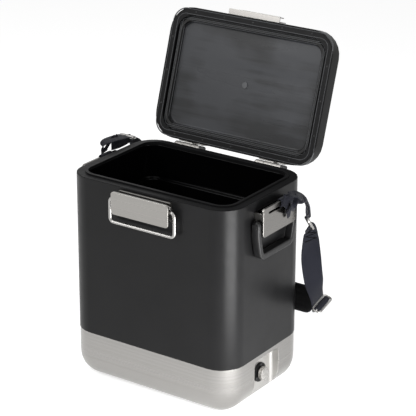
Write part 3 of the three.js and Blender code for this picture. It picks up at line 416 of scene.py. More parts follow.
def make_woven(name, colour, warp, weft, depth, sheen):
    """Woven cloth on the piece's own UV, which is in metres: x across the webbing, y along it."""
    look = Look(name, colour, 0.82, Specular_IOR_Level=0.12, Sheen_Weight=sheen, Sheen_Roughness=0.4)
    ridges = look.combine("MULTIPLY", look.waves(warp, "X"), look.waves(weft, "Y"))
    fibres = look.noise(1, 3, (2500, 700, 1), "UV")
    both = look.combine("ADD", look.span(ridges, 0.3, 0.75, 0, 1), look.span(fibres, -0.12, 0.12))
    look.shade(both, 0.55, 1.35)
    look.relief(ridges, depth)
    look.relief(fibres, depth / 3, 0.6)
    return look.material


def make_materials():
    materials = {
        "brushed_steel": make_base_steel(),
        "fitting_steel_turned": make_turned_steel(),
        "bright_steel": make_polished(),
        "lid_panel": make_panel(),
    }
    for make, looks in ((make_plain, PLAIN_LOOKS), (make_fitting, FITTING_LOOKS), (make_woven, WOVEN_LOOKS)):
        for name, look in looks.items():
            materials[name] = make(name, *look)
    return materials


# CAD nodes: rounded edges, smooth curves and materials


def geometry_group(name):
    """A geometry group, its calls that add and link nodes, and its input and output."""
    group = bpy.data.node_groups.new(name, "GeometryNodeTree")
    for way in ("INPUT", "OUTPUT"):
        group.interface.new_socket("Geometry", in_out=way, socket_type="NodeSocketGeometry")
    add, link = group.nodes.new, group.links.new
    return group, add, link, add("NodeGroupInput"), add("NodeGroupOutput")


def smooth_group():
    """A modifier that smooths all but edges sharper than a limit."""
    group, add, link, start, end = geometry_group("smooth_below_edge_angle")
    faces = add("GeometryNodeSetShadeSmooth")
    edges = add("GeometryNodeSetShadeSmooth")
    edges.domain = "EDGE"
    angle = add("GeometryNodeInputMeshEdgeAngle")
    sharp = combine(group, "GREATER_THAN", angle.outputs["Unsigned Angle"], EDGE_ANGLE)
    edges.inputs["Shade Smooth"].default_value = False
    link(start.outputs[0], faces.inputs["Geometry"])
    link(faces.outputs[0], edges.inputs["Geometry"])
    link(sharp, edges.inputs["Selection"])
    link(edges.outputs[0], end.inputs[0])
    return group


def pocket_weights():
    """A modifier that gives the pocket's edges a larger radius than the base's seam."""
    group, add, link, start, end = geometry_group("pocket_edge_weights")
    store = add("GeometryNodeStoreNamedAttribute")
    store.data_type = "FLOAT"
    store.domain = "EDGE"
    store.inputs["Name"].default_value = "bevel_weight_edge"
    place = add("ShaderNodeSeparateXYZ")
    link(add("GeometryNodeInputPosition").outputs[0], place.inputs[0])
    angle = add("GeometryNodeInputMeshEdgeAngle")
    sharp = combine(group, "GREATER_THAN", angle.outputs["Unsigned Angle"], EDGE_ANGLE)
    side = combine(group, "GREATER_THAN", place.outputs["X"], POCKET_EDGE_FROM_X)
    low = combine(group, "LESS_THAN", place.outputs["Z"], POCKET_EDGE_TO_Z)
    weight = add("ShaderNodeMapRange")
    weight.inputs["To Min"].default_value = EDGE_RADIUS / POCKET_EDGE
    link(combine(group, "MULTIPLY", side, low), weight.inputs["Value"])
    share = combine(group, "MULTIPLY", sharp, weight.outputs["Result"])
    link(share, store.inputs["Value"])
    link(start.outputs[0], store.inputs["Geometry"])
    link(store.outputs[0], end.inputs[0])
    return group


def finish_nodes(materials):
    """Material, small edge radii and smooth curves of each solid."""
    smoothing, weighting = smooth_group(), pocket_weights()
    for row in frame["record"]["subparts"]:
        name = row["node"]
        node = nodes[name]
        node.data.materials.clear()
        node.data.materials.append(materials[OWN_LOOK.get(name, row["material_slot"])])
        node.modifiers.new("weld", "WELD").merge_threshold = WELD
        flat = node.modifiers.new("flat", "DECIMATE")
        flat.decimate_type = "DISSOLVE"
        flat.angle_limit = FLAT_ANGLE
        if name == "steel_base":
            node.modifiers.new("weights", "NODES").node_group = weighting
        bevel = node.modifiers.new("edge", "BEVEL")
        bevel.angle_limit = EDGE_ANGLE
        bevel.limit_method = "WEIGHT" if name == "steel_base" else "ANGLE"
        bevel.width = EDGE_RADII.get(name, EDGE_RADIUS)
        bevel.segments = 3 if name in EDGE_RADII else 2
        bevel.use_clamp_overlap = name not in EDGE_RADII
        node.modifiers.new("smooth", "NODES").node_group = smoothing
        node.modifiers.new("normal", "WEIGHTED_NORMAL").keep_sharp = True


# Mesh helpers


def add_piece(name, vertices, faces, material, body, slot=None, uvs=None):
    mesh = bpy.data.meshes.new(name)
    mesh.from_pydata([tuple(v) for v in vertices], [], faces)
    if uvs:
        layer = mesh.uv_layers.new(name="UVMap")
        for loop in mesh.loops:
            layer.data[loop.index].uv = uvs[loop.vertex_index]
    mesh.polygons.foreach_set("use_smooth", [True] * len(mesh.polygons))
    mesh.materials.append(material)
    mesh.update()
    piece = add_object(name, mesh)
    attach(piece, body)
    return piece


def spline(points, steps):
    """Centripetal Catmull-Rom through the points, with steps between each two."""
    line = [Vector(p) for p in points]
    line = [line[0] * 2 - line[1], *line, line[-1] * 2 - line[-2]]
    out = []
    for i in range(1, len(line) - 2):
        a, b, c, d = line[i - 1 : i + 3]
        ab, bc, cd = (max((q - p).length ** 0.5, 1e-6) for p, q in ((a, b), (b, c), (c, d)))
        start = ((b - a) / ab - (c - a) / (ab + bc) + (c - b) / bc) * bc
        end = ((c - b) / bc - (d - b) / (bc + cd) + (d - c) / cd) * bc
        last = steps + 1 if i == len(line) - 3 else steps
        for k in range(last):
            t = k / steps
            bow = (3 * (c - b) - 2 * start - end) * t**2
            out.append(b + start * t + bow + (2 * (b - c) + start + end) * t**3)
    return out


def directions(line, closed=False):
    count = len(line)
    out = []
    for i in range(count):
        before = line[(i - 1) % count] if closed else line[max(i - 1, 0)]
        after = line[(i + 1) % count] if closed else line[min(i + 1, count - 1)]
        out.append((after - before).normalized())
    return out


def swept(rings, closed=False):
    """Vertices and faces of a skin over rings of equal count."""
    count = len(rings[0])
    vertices = [p for ring in rings for p in ring]
    faces = []
    last = len(rings) if closed else len(rings) - 1
    for r in range(last):
        here = r * count
        there = ((r + 1) % len(rings)) * count
        for i in range(count):
            j = (i + 1) % count
            faces.append((here + i, here + j, there + j, there + i))
    if not closed:
        faces.append(tuple(reversed(range(count))))
        faces.append(tuple(range(last * count, (last + 1) * count)))
    return vertices, faces


def circle(centre, side, other, radius, sides):
    angles = [2 * math.pi * k / sides for k in range(sides)]
    return [centre + side * (math.cos(a) * radius) + other * (math.sin(a) * radius) for a in angles]


def tube(line, radius, sides=12, closed=False):
    """A round bar along a line."""
    line = [Vector(p) for p in line]
    heading = directions(line, closed)
    up = heading[0].orthogonal().normalized()
    rings = []
    for centre, along in zip(line, heading):
        up = (up - along * up.dot(along)).normalized()
        rings.append(circle(centre, up, along.cross(up), radius, sides))
    return swept(rings, closed)


def rectangle(centre, along, across, half_length, half_depth):
    """Corners of a rectangle in the plane of two directions."""
    return [centre + along * (sx * half_length) + across * (sy * half_depth) for sx, sy in CORNER_SIGNS]


def rounded_path(points, bend, steps=8, closed=False):
    """Straight runs with round bends."""
    line = [Vector(p) for p in points]
    out = []
    count = len(line)
    for i, corner in enumerate(line):
        if not closed and i in (0, count - 1):
            out.append(corner)
            continue
        back = (line[i - 1] - corner).normalized()
        on = (line[(i + 1) % count] - corner).normalized()
        half = back.angle(on) / 2
        centre = corner + (back + on).normalized() * (bend / math.cos(half))
        before, after = corner + back * bend - centre, corner + on * bend - centre
        reach = before.length
        for k in range(steps + 1):
            out.append(centre + before.lerp(after, k / steps).normalized() * reach)
    return out


def merge(parts):
    """Several (vertices, faces) as one."""
    vertices, faces = [], []
    for some, skin in parts:
        shift = len(vertices)
        vertices += list(some)
        faces += [tuple(i + shift for i in face) for face in skin]
    return vertices, faces


def turned(profile, centre, axis, sides=20):
    """A turned form about an axis: the profile's points are (radius, height along the axis)."""
    axis = Vector(axis).normalized()
    side = axis.orthogonal().normalized()
    other = axis.cross(side)
    return swept([circle(Vector(centre) + axis * h, side, other, radius, sides) for radius, h in profile])


def rounded_section(width, depth, corner, steps=4):
    """Corners of a rounded rectangle as (along its width, along its depth)."""
    points = []
    for quarter, (sx, sy) in enumerate(((1, 1), (-1, 1), (-1, -1), (1, -1))):
        for k in range(steps + 1):
            angle = math.pi / 2 * (quarter + k / steps)
            u = sx * (width / 2 - corner) + corner * math.cos(angle)
            v = sy * (depth / 2 - corner) + corner * math.sin(angle)
            points.append((u, v))
    return points


# Latch bail and handles

BAIL_WIRE = 3 * MM  # radius
BAIL_BEND = 7.5 * MM
BAIL_TIP = 12.6 * MM

HANDLE_LEG = 9.5 * MM
HANDLE_BAR = 11.5 * MM
HANDLE_SHOULDER = 19.4 * MM
HANDLE_TAPER = 9.7 * MM
HANDLE_BEND = 9 * MM
HANDLE_EDGE = 3.2 * MM
CAP_LEAST = 0.04  # share of a leg's depth left at the top of its round end
CAP_FLATNESS = 0.35  # how much less the band's thickness narrows there


def make_bail(material):
    """A wire loop whose two tips turn in to the lever."""
    low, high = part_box("latch_bail")
    leg = high.x - BAIL_WIRE
    y = (low.y + high.y) / 2
    top, foot = high.z - BAIL_WIRE, low.z + BAIL_WIRE
    end = leg - BAIL_TIP
    corners = [(-end, y, top), (-leg, y, top), (-leg, y, foot), (leg, y, foot), (leg, y, top), (end, y, top)]
    line = rounded_path(corners, BAIL_BEND)
    bail = add_piece("bail_wire", *tube(line, BAIL_WIRE, 16), material, "latch_bail", "bright_steel")
    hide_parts("latch_bail")


def make_handle(side, material):
    """A flat band with soft edges: two legs with round ends and a thicker grip."""
    low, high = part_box("handle_" + side)
    middle = (low.x + high.x) / 2
    depth = high.x - low.x
    end = depth / 2
    pivot = high.z - end
    out = high.y - HANDLE_LEG / 2
    shoulder = pivot - HANDLE_SHOULDER
    foot = low.z + HANDLE_BAR / 2
    places = [(out, pivot), (out, shoulder), (out - HANDLE_TAPER, foot)]
    corners = [Vector((middle, -y, z)) for y, z in places]
    corners += [Vector((middle, y, z)) for y, z in reversed(places)]
    line = rounded_path(corners, HANDLE_BEND)
    heading = directions(line)
    across = Vector((1, 0, 0))
    rings = []
    for centre, along in zip(line, heading):
        outward = across.cross(along)
        share = abs(along.y)
        thick = HANDLE_LEG * (1 - share) + HANDLE_BAR * share
        section = rounded_section(thick, depth, HANDLE_EDGE)
        rings.append([centre + outward * u + across * v for u, v in section])
    caps = []
    for degrees in (15, 30, 45, 60, 75, 85, 90):
        angle = math.radians(degrees)
        caps.append((end * math.sin(angle), max(math.cos(angle), CAP_LEAST)))
    section = rounded_section(HANDLE_LEG, depth, HANDLE_EDGE)
    ends = []
    for centre, along in ((line[0], heading[0]), (line[-1], heading[-1])):
        outward = across.cross(along)
        cap_rings = []
        for rise, share in caps:
            top = centre + Vector((0, 0, rise))
            narrow = min(1, share + CAP_FLATNESS)
            cap_rings.append([top + across * (v * share) + outward * (u * narrow) for u, v in section])
        ends.append(cap_rings)
    skin = swept(ends[0][::-1] + rings + ends[1])
    handle = add_piece("handle_band_" + side, *skin, material, "handle_" + side, "black_metal")
    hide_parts("handle_" + side)


# Rings and adjuster

# Centre, direction along and direction across
RIGHT_RING = ((0.2068, 0.0796, 0.3186), (0, 0.62, -0.79), (-0.81, 0.45, 0.37))
LEFT_RING = ((-0.2, 0.093, 0.3945), (1, 0, 0), (0, 1, -0.35))
GLIDE = ((0.2372, 0.0795, 0.1712), (0, 1, 0.3), (1, 0, -0.3))
RING_LENGTH = 34 * MM
RING_DEPTH = 17 * MM
RING_WIRE = 6 * MM
RING_BEND = 4 * MM

GLIDE_HALF_LENGTH = 22 * MM
GLIDE_HALF_DEPTH = 8.2 * MM
GLIDE_BEND = 5 * MM
GLIDE_WIRE = 1.7 * MM  # radius
GLIDE_BAR = 1.4 * MM  # radius
TONGUE_HALF_LENGTH = 18.6 * MM
TONGUE_HALF_DEPTH = 6.2 * MM
TONGUE_HALF_THICKNESS = 3.1 * MM
TONGUE_UV_RADIUS = 5 * MM
TONGUE_STEPS = 12  # rings on each side of its middle
TONGUE_FADE = 0.12  # how much thinner it is at its ends
TONGUE_RIPPLE = 0.06


def axes_of(place):
    """Centre, length, depth and thickness directions of a flat fitting."""
    centre, along, across = (Vector(v) for v in place)
    along.normalize()
    across = (across - along * across.dot(along)).normalized()
    return centre, along, across, along.cross(across)


def make_ring(name, place, node, material):
    centre, along, across, _ = axes_of(place)
    corners = rectangle(centre, along, across, (RING_LENGTH - RING_WIRE) / 2, (RING_DEPTH - RING_WIRE) / 2)
    line = rounded_path(corners, RING_BEND, 6, closed=True)
    ring = add_piece(name, *tube(line, RING_WIRE / 2, 12, closed=True), material, "cooler", "bright_steel")
    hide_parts(node)
    return ring


def make_adjuster(materials):
    """A wire frame with the webbing turned over its middle bar."""
    bright = materials["bright_steel"]
    centre, along, across, normal = axes_of(GLIDE)
    corners = rectangle(centre, along, across, GLIDE_HALF_LENGTH, GLIDE_HALF_DEPTH)
    wire = tube(rounded_path(corners, GLIDE_BEND, closed=True), GLIDE_WIRE, closed=True)
    ring = add_piece("adjuster", *wire, bright, "cooler", "bright_steel")
    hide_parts("tri_glide")
    line = [centre + along * (share * GLIDE_HALF_LENGTH) for share in (-1, -0.5, 0, 0.5, 1)]
    bar = add_piece("adjuster_bar", *tube(line, GLIDE_BAR, 10), bright, "cooler", "bright_steel")
    rings, uvs, sides = [], [], 20
    for i in range(2 * TONGUE_STEPS + 1):
        share = i / TONGUE_STEPS - 1
        fade = 1 - TONGUE_FADE * abs(share) ** 6
        ring_points = []
        for k in range(sides):
            angle = 2 * math.pi * k / sides
            ripple = 1 + TONGUE_RIPPLE * math.sin(share * 9 + k)
            ring_points.append(
                centre
                + along * (share * TONGUE_HALF_LENGTH)
                + across * (math.cos(angle) * TONGUE_HALF_DEPTH * fade)
                + normal * (math.sin(angle) * TONGUE_HALF_THICKNESS * fade * ripple)
            )
            uvs.append((share * TONGUE_HALF_LENGTH, angle * TONGUE_UV_RADIUS))
        rings.append(ring_points)
    tongue = add_webbing("adjuster_webbing", (*swept(rings), uvs), materials["webbing"])
    return ring, bar, tongue


# Strap: each station is a place, the direction across the webbing and the width there

RIGHT_TAB = (
    [  # from the bracket to the ring
        ((0.194, 0.02, 0.385), (0, 1, 0), 0.02),
        ((0.2, 0.025, 0.387), (-0.4, 0.9, 0), 0.022),
        ((0.203, 0.036, 0.3845), (-0.7, 0.6, 0.1), 0.024),
        ((0.2045, 0.048, 0.3785), (-0.6, 0.75, 0.35), 0.02),
        ((0.2053, 0.0604, 0.3708), (-0.5, 0.8, 0.35), 0.016),
        ((0.2058, 0.0694, 0.3595), (-0.4, 0.85, 0.35), 0.016),
        ((0.206, 0.0745, 0.345), (-0.2, 0.95, 0.35), 0.021),
        ((0.2065, 0.0775, 0.327), (-0.2, 0.95, 0.35), 0.021),
    ],
    [  # the short end that hangs outside the bracket
        ((0.1976, 0.018, 0.379), (0, 1, 0), 0.024),
        ((0.2004, 0.018, 0.371), (0, 1, 0), 0.02),
        ((0.2008, 0.02, 0.36), (0, 1, 0), 0.014),
        ((0.1994, 0.022, 0.346), (0, 1, 0), 0.007),
    ],
    [  # a fold across it
        ((0.1975, 0.006, 0.384), (0, 0.9, 0.3), 0.02),
        ((0.2025, 0.014, 0.3785), (-0.1, 0.5, 0.8), 0.026),
        ((0.2045, 0.024, 0.372), (-0.1, 0.4, 0.9), 0.026),
        ((0.203, 0.033, 0.364), (0, 0.6, 0.7), 0.02),
        ((0.2005, 0.038, 0.356), (0, 0.8, 0.4), 0.01),
    ],
    [  # a fold the other way
        ((0.1985, 0.034, 0.384), (0.2, 0.5, 0.8), 0.014),
        ((0.2035, 0.027, 0.3755), (0.1, 0.75, 0.6), 0.02),
        ((0.204, 0.015, 0.366), (-0.1, 0.8, 0.4), 0.022),
        ((0.201, 0.008, 0.358), (-0.2, 0.9, 0.3), 0.014),
    ],
    [  # a narrow strand along the outer edge
        ((0.203, 0.03, 0.378), (0, 0.5, 0.85), 0.014),
        ((0.2065, 0.05, 0.371), (-0.3, 0.5, 0.8), 0.014),
        ((0.208, 0.062, 0.3695), (-0.5, 0.7, 0.5), 0.01),
        ((0.2085, 0.0705, 0.3585), (-0.6, 0.8, 0.2), 0.01),
        ((0.2085, 0.074, 0.346), (-0.6, 0.8, 0.2), 0.01),
        ((0.208, 0.0765, 0.335), (-0.6, 0.8, 0.2), 0.01),
    ],
)

LEFT_TAB = (
    [  # from the bracket to the ring
        ((-0.197, 0.018, 0.385), (0, 1, 0), 0.022),
        ((-0.2, 0.017, 0.392), (-0.3, 0.9, 0), 0.014),
        ((-0.201, 0.02, 0.3995), (-0.9, 0.3, 0), 0.016),
        ((-0.2005, 0.034, 0.402), (-1, 0, 0), 0.026),
        ((-0.2, 0.06, 0.4005), (-1, 0, 0), 0.03),
        ((-0.2, 0.0843, 0.3974), (-1, 0, 0), 0.03),
    ],
    [  # the fold below it
        ((-0.2005, 0.044, 0.39), (0, 0.2, 1), 0.019),
        ((-0.2005, 0.054, 0.39), (0, 0, 1), 0.021),
        ((-0.2, 0.068, 0.389), (0.1, 0, 1), 0.022),
        ((-0.2, 0.085, 0.389), (0, 0, 1), 0.02),
        ((-0.1995, 0.1, 0.389), (0, 0, 1), 0.016),
    ],
    [  # a narrow strand on its outer face
        ((-0.2035, 0.028, 0.385), (0, 0.8, -0.5), 0.008),
        ((-0.204, 0.044, 0.397), (0, 0.6, -0.8), 0.009),
        ((-0.2035, 0.058, 0.4035), (0, 0.3, -0.95), 0.008),
    ],
    [  # a strand across it
        ((-0.2035, 0.06, 0.404), (0, 0.9, 0.3), 0.01),
        ((-0.2045, 0.066, 0.393), (0, 0.95, 0.2), 0.012),
        ((-0.2035, 0.069, 0.383), (0, 0.95, 0.2), 0.01),
    ],
)

STRAP_RUN = [
    ((0.2052, 0.0795, 0.3115), (0.1, 0.9, -0.1), 0.024),
    ((0.2068, 0.0837, 0.3032), (0.25, 0.95, -0.15), 0.03),
    ((0.209, 0.0823, 0.287), (0.35, 0.93, -0.1), 0.036),
    ((0.214, 0.0775, 0.251), (0.6, 0.8, 0), 0.038),
    ((0.22, 0.0776, 0.2135), (0.5, 0.87, 0), 0.038),
    ((0.225, 0.0795, 0.188), (0.1, 1, 0), 0.038),
    ((0.2274, 0.081, 0.173), (0, 1, 0.1), 0.038),
    ((0.2235, 0.0865, 0.164), (0, 0.9, 0.45), 0.032),
    ((0.2125, 0.1, 0.157), (-0.2, 0.6, 0.8), 0.03),
    ((0.204, 0.118, 0.1525), (0, 0.2, 1), 0.034),
    ((0.196, 0.1365, 0.146), (0, 0, 1), 0.038),
    ((0.184, 0.1413, 0.1445), (0, 0, 1), 0.038),
    ((0.17, 0.1406, 0.1435), (0, 0, 1), 0.038),
    ((0.15, 0.1405, 0.143), (0, 0, 1), 0.038),
    ((0.05, 0.1405, 0.142), (0, 0, 1), 0.038),
    ((-0.06, 0.1405, 0.142), (0, 0, 1), 0.038),
    ((-0.14, 0.1405, 0.15), (0.15, 0, 1), 0.038),
    ((-0.178, 0.1395, 0.178), (0.7, 0, 0.7), 0.038),
    ((-0.197, 0.137, 0.225), (1, 0, 0.2), 0.038),
    ((-0.201, 0.134, 0.29), (1, 0, 0), 0.038),
    ((-0.201, 0.128, 0.345), (1, 0, 0), 0.036),
    ((-0.2005, 0.116, 0.381), (1, 0, 0), 0.032),
    ((-0.2, 0.1024, 0.3916), (1, 0, 0), 0.03),
]

STRAP_THICKNESS = 1.8 * MM
ACROSS_SHARES = (-1, -0.94, -0.75, -0.5, -0.25, 0, 0.25, 0.5, 0.75, 0.94, 1)
EDGE_SHARES = (0.45, 0.9, 1, 1, 1, 1, 1, 1, 1, 0.9, 0.45)

LOOP_HALF_WIDTH = 15.5 * MM
LOOP_THICKNESS = 2.4 * MM
LOOP_GAP = 0.7 * MM
LOOP_BEND = 3.2 * MM
LOOP_Y = 17 * MM
SLOT_DEPTH = 4.5 * MM
SLOT_BELOW_TOP = 10.5 * MM

THREAD = 0.75 * MM  # radius
THREAD_LIFT = 0.3 * MM
TACK_START = 7 * MM
TACK_END = 29 * MM
TACK_REACH = 0.78  # share of the webbing's width that the thread crosses


def webbing_ring(place, half_width, thickness, run):
    """One ring of the webbing's skin and its UV. place gives a point from across and lift."""
    upper, lower, uvs = [], [], []
    for across, share in zip(ACROSS_SHARES, EDGE_SHARES):
        lift = thickness / 2 * share
        upper.append(place(across, lift))
        lower.append(place(across, -lift))
        uvs.append((across * half_width, run))
    return upper + lower[::-1], uvs + uvs[::-1]


def add_webbing(name, skin, material):
    vertices, faces, uvs = skin
    return add_piece(name, vertices, faces, material, "cooler", "webbing", uvs)


class Ribbon:
    """Webbing through stations."""

    def __init__(self, stations, steps=8):
        self.line = spline([s[0] for s in stations], steps)
        across = spline([s[1] for s in stations], steps)
        self.along = directions(self.line)
        self.side, self.up, self.width, self.run = [], [], [], []
        run = 0.0
        for i, (point, along, side) in enumerate(zip(self.line, self.along, across)):
            side = (side - along * side.dot(along)).normalized()
            before = min(i // steps, len(stations) - 2)
            share = i / steps - before
            self.width.append(stations[before][2] * (1 - share) + stations[before + 1][2] * share)
            self.side.append(side)
            self.up.append(along.cross(side))
            run += (point - self.line[i - 1]).length if i else 0
            self.run.append(run)

    def at(self, i, across=0.0, lift=0.0):
        """A place on the ribbon: across from -1 to 1, lifted off its middle layer."""
        return self.line[i] + self.side[i] * (across * self.width[i] / 2) + self.up[i] * lift

    def skin(self):
        rings, uvs = [], []
        for i in range(len(self.line)):
            ring, ring_uvs = webbing_ring(
                lambda across, lift: self.at(i, across, lift), self.width[i] / 2, STRAP_THICKNESS, self.run[i]
            )
            rings.append(ring)
            uvs += ring_uvs
        return *swept(rings), uvs


def loop_ribbon(side):
    """The webbing that goes through a bracket's slot and over its top edge."""
    _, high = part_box("side_bracket_right")
    reach = LOOP_THICKNESS / 2 + LOOP_GAP
    outer = high.x + reach
    inner = high.x - SLOT_DEPTH - reach
    top = high.z + reach
    slot = high.z - SLOT_BELOW_TOP
    corners = [(inner, LOOP_Y, slot), (inner, LOOP_Y, top), (outer, LOOP_Y, top), (outer, LOOP_Y, slot)]
    line = rounded_path(corners, LOOP_BEND, 5, closed=True)
    line = [Vector((p.x * side, p.y, p.z)) for p in line]
    centre = Vector(((outer + inner) / 2 * side, LOOP_Y, (top + slot) / 2))
    across = Vector((0, 1, 0))
    rings, uvs = [], []
    run = 0.0
    for i, (point, heading) in enumerate(zip(line, directions(line, closed=True))):
        up = heading.cross(across)
        if up.dot(point - centre) < 0:
            up.negate()
        run += (point - line[i - 1]).length if i else 0
        ring, ring_uvs = webbing_ring(
            lambda share, lift: point + across * (share * LOOP_HALF_WIDTH) + up * lift,
            LOOP_HALF_WIDTH,
            LOOP_THICKNESS,
            run,
        )
        rings.append(ring)
        uvs += ring_uvs
    return *swept(rings, closed=True), uvs


def with_uv(parts):
    vertices, faces = merge([(v, f) for v, f, _ in parts])
    return vertices, faces, [uv for part in parts for uv in part[2]]


def place_on(ribbon, run, across, lift):
    """A place on a ribbon at a length along it."""
    for i in range(len(ribbon.run) - 1):
        if ribbon.run[i + 1] >= run:
            share = (run - ribbon.run[i]) / (ribbon.run[i + 1] - ribbon.run[i])
            return ribbon.at(i, across, lift).lerp(ribbon.at(i + 1, across, lift), share)
    return ribbon.at(len(ribbon.run) - 1, across, lift)


def zigzag(ribbon, first, last, lift):
    """Heavy thread that crosses a ribbon to and fro over a length of it."""
    turns, steps = 5, 8
    points = []
    for k in range(turns * steps + 1):
        swing = 4 * abs((k / steps / 2) % 1 - 0.5) - 1
        run = first + (last - first) * k / (turns * steps)
        points.append(place_on(ribbon, run, TACK_REACH * swing, lift))
    return tube(points, THREAD, 8)


def make_tab(side, sign, runs, material):
    """A tab: its loop through the bracket and its folds, as one piece."""
    skin = with_uv([loop_ribbon(sign), *(Ribbon(stations).skin() for stations in runs)])
    tab = add_webbing("tab_" + side, skin, material)
    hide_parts("strap_tab_" + side)
    return tab


def make_tacks(name, ribbon, first, last, material):
    """Sewn zigzags on both faces of a ribbon."""
    face = STRAP_THICKNESS / 2 + THREAD_LIFT
    lines = [zigzag(ribbon, first, last, s * face) for s in (-1, 1)]
    return add_piece(name, *merge(lines), material, "cooler")


def make_strap(materials):
    webbing, thread, bright = materials["webbing"], materials["thread"], materials["bright_steel"]
    run = Ribbon(STRAP_RUN, 12)
    length = run.run[-1]
    strap = add_webbing("strap", run.skin(), webbing)
    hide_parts("strap_webbing")

    right_tab = make_tab("right", 1, RIGHT_TAB, webbing)
    left_tab = make_tab("left", -1, LEFT_TAB, webbing)
    right_ring = make_ring("ring_right", RIGHT_RING, "strap_ring_right", bright)
    left_ring = make_ring("ring_left", LEFT_RING, "strap_ring_left", bright)
    tacks = make_tacks("strap_tacks", run, TACK_START, TACK_END, thread)
    back_tacks = make_tacks("strap_tacks_left", run, length - TACK_END, length - TACK_START, thread)

    pad, seam = make_pad(materials)
    adjuster = make_adjuster(materials)
    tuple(STRAP_RUN[0][0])
    [tuple(p) for p in run.line]


# Shoulder pad

PAD_MIDDLE = (0.034, 0.1353, 0.143)
PAD_LENGTH = 300 * MM
PAD_WIDTH = 52 * MM
PAD_THICKNESS = 8 * MM
PAD_CORNER = 16 * MM
PAD_CROWN = 3.2 * MM
PAD_LEAST = 0.4 * MM
PAD_BINDING = 1.5 * MM  # radius
CHANNEL_PITCH = 11 * MM
CHANNEL_WIDTH = 1.3 * MM
CHANNEL_DEPTH = 1.5 * MM
CHANNEL_END = 12 * MM
CHANNEL_FADE = 10 * MM


def make_pad(materials):
    """The padded sleeve: a crowned pad with sewn channels and a bound edge."""
    x, y, z = PAD_MIDDLE
    columns, rows = 90, 17
    vertices, faces, uvs = [], [], []
    for side in (1, -1):
        for i in range(columns + 1):
            u = (i / columns * 2 - 1) * PAD_LENGTH / 2
            half = pad_half_width(u)
            for j in range(rows + 1):
                v = (j / rows * 2 - 1) * half
                vertices.append(Vector((x + u, y + side * pad_rise(u, v, half), z + v)))
                uvs.append((v, u))
    shift = (columns + 1) * (rows + 1)
    for i in range(columns):
        for j in range(rows):
            a = i * (rows + 1) + j
            quad = (a, a + rows + 1, a + rows + 2, a + 1)
            faces.append(quad[::-1])
            faces.append(tuple(k + shift for k in quad))
    rim = rim_of(columns, rows)
    for a, b in zip(rim, rim[1:] + rim[:1]):
        faces.append((a, b, b + shift, a + shift))
    pad = add_piece("pad", vertices, faces, materials["pad_fabric"], "cooler", "pad_fabric", uvs)
    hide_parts("shoulder_pad")
    outline = rounded_section(PAD_LENGTH, PAD_WIDTH, PAD_CORNER, 8)
    border = [Vector((x + u, y, z + v)) for u, v in outline]
    binding = tube(border, PAD_BINDING, 10, closed=True)
    seam = add_piece("pad_binding", *binding, materials["webbing"], "cooler")
    return pad, seam


def pad_half_width(u):
    """Half the pad's width at a distance u from its middle."""
    over = abs(u) - (PAD_LENGTH / 2 - PAD_CORNER)
    if over <= 0:
        return PAD_WIDTH / 2
    return PAD_WIDTH / 2 - PAD_CORNER + math.sqrt(max(PAD_CORNER**2 - over**2, 0))


def pad_rise(u, v, half):
    """How far the pad's face stands from its middle layer: crowned, with three sewn channels."""
    edge = min(half - abs(v), PAD_LENGTH / 2 - abs(u))
    crown = 1 - math.exp(-max(edge, 0) / PAD_CROWN)
    channel = sum(math.exp(-(((v - k * CHANNEL_PITCH) / CHANNEL_WIDTH) ** 2)) for k in (-1, 0, 1))
    end = min(1, max(0, (PAD_LENGTH / 2 - abs(u) - CHANNEL_END) / CHANNEL_FADE))
    return max(PAD_THICKNESS / 2 * crown - CHANNEL_DEPTH * channel * end, PAD_LEAST)


def rim_of(columns, rows):
    """Indices round the edge of the pad's grid."""
    stride = rows + 1
    low = [i * stride for i in range(columns + 1)]
    far = [columns * stride + j for j in range(1, rows + 1)]
    high = [i * stride + rows for i in range(columns - 1, -1, -1)]
    near = list(range(rows - 1, 0, -1))
    return low + far + high + near


# Small fasteners and marks

TIP = 0.05 * MM  # radius of the small flat at a head's middle

LID_AXIS = Vector((0, 0.1296, 0.3877))
LID_TURN = Matrix.Rotation(math.radians(-107.67), 3, "X")
LID_HALF = (175 * MM, 122.15 * MM)
LID_CORNER = 30.4 * MM

# The lid's ribs: inset from its edge, height on the closed lid and radius
RING_RIBS = (
    (16.3 * MM, 398.7 * MM, 0.7 * MM),
    (25 * MM, 398.7 * MM, 0.7 * MM),
    (3.4 * MM, 392.74 * MM, 1.2 * MM),
    (12.8 * MM, 392.74 * MM, 1.2 * MM),
)
GASKET_RIBS = ((19.3 * MM, 394.8 * MM, 0.5 * MM), (22.2 * MM, 394.8 * MM, 0.5 * MM))

MARK_INSET = 8 * MM
MARK_Z = 391.7 * MM
MARK_PITCH = 62.5 * MM
MARK_RADIUS = 1.6 * MM
MARK_HEIGHT = 0.12 * MM

CATCH_RIVET = (42 * MM, -124.25 * MM, 403 * MM)
LID_SCREW = (17 * MM, 124.45 * MM, 409 * MM)  # x from a leaf's middle
LEAF_SCREW_PITCH = 18 * MM
LEAF_SCREW_SINK = 2 * MM
LEAF_SCREW_RISE = 13.5 * MM
DRAIN_PLATE = (160.8 * MM, 47 * MM)  # x of its face, z of its middle
DRAIN_SCREW_CIRCLE = 15 * MM
DRAIN_SCREW = 2.4 * MM  # radius

BASE_BEND = 45.4 * MM
BASE_HALF_WIDTH = 174.3 * MM
FILLET_LIFT = 0.05 * MM
FILLET_FOOT_GAP = 0.5 * MM


def screw_head(centre, axis, radius=3.4 * MM):
    """A low domed head with a round recess."""
    shares = ((1, 0), (1, 0.5), (0.86, 1.25), (0.6, 1.6), (0.42, 1.65), (0.36, 0.9))
    profile = [(radius * share, rise * MM) for share, rise in shares]
    return turned([*profile, (TIP, 0.8 * MM)], centre, axis)


def rivet_head(centre, axis, radius=2.6 * MM, rise=1 * MM):
    """A plain domed head."""
    profile = [(radius * math.cos(a), rise * math.sin(a)) for a in [k * math.pi / 12 for k in range(6)]]
    return turned([*profile, (TIP, rise)], centre, axis)


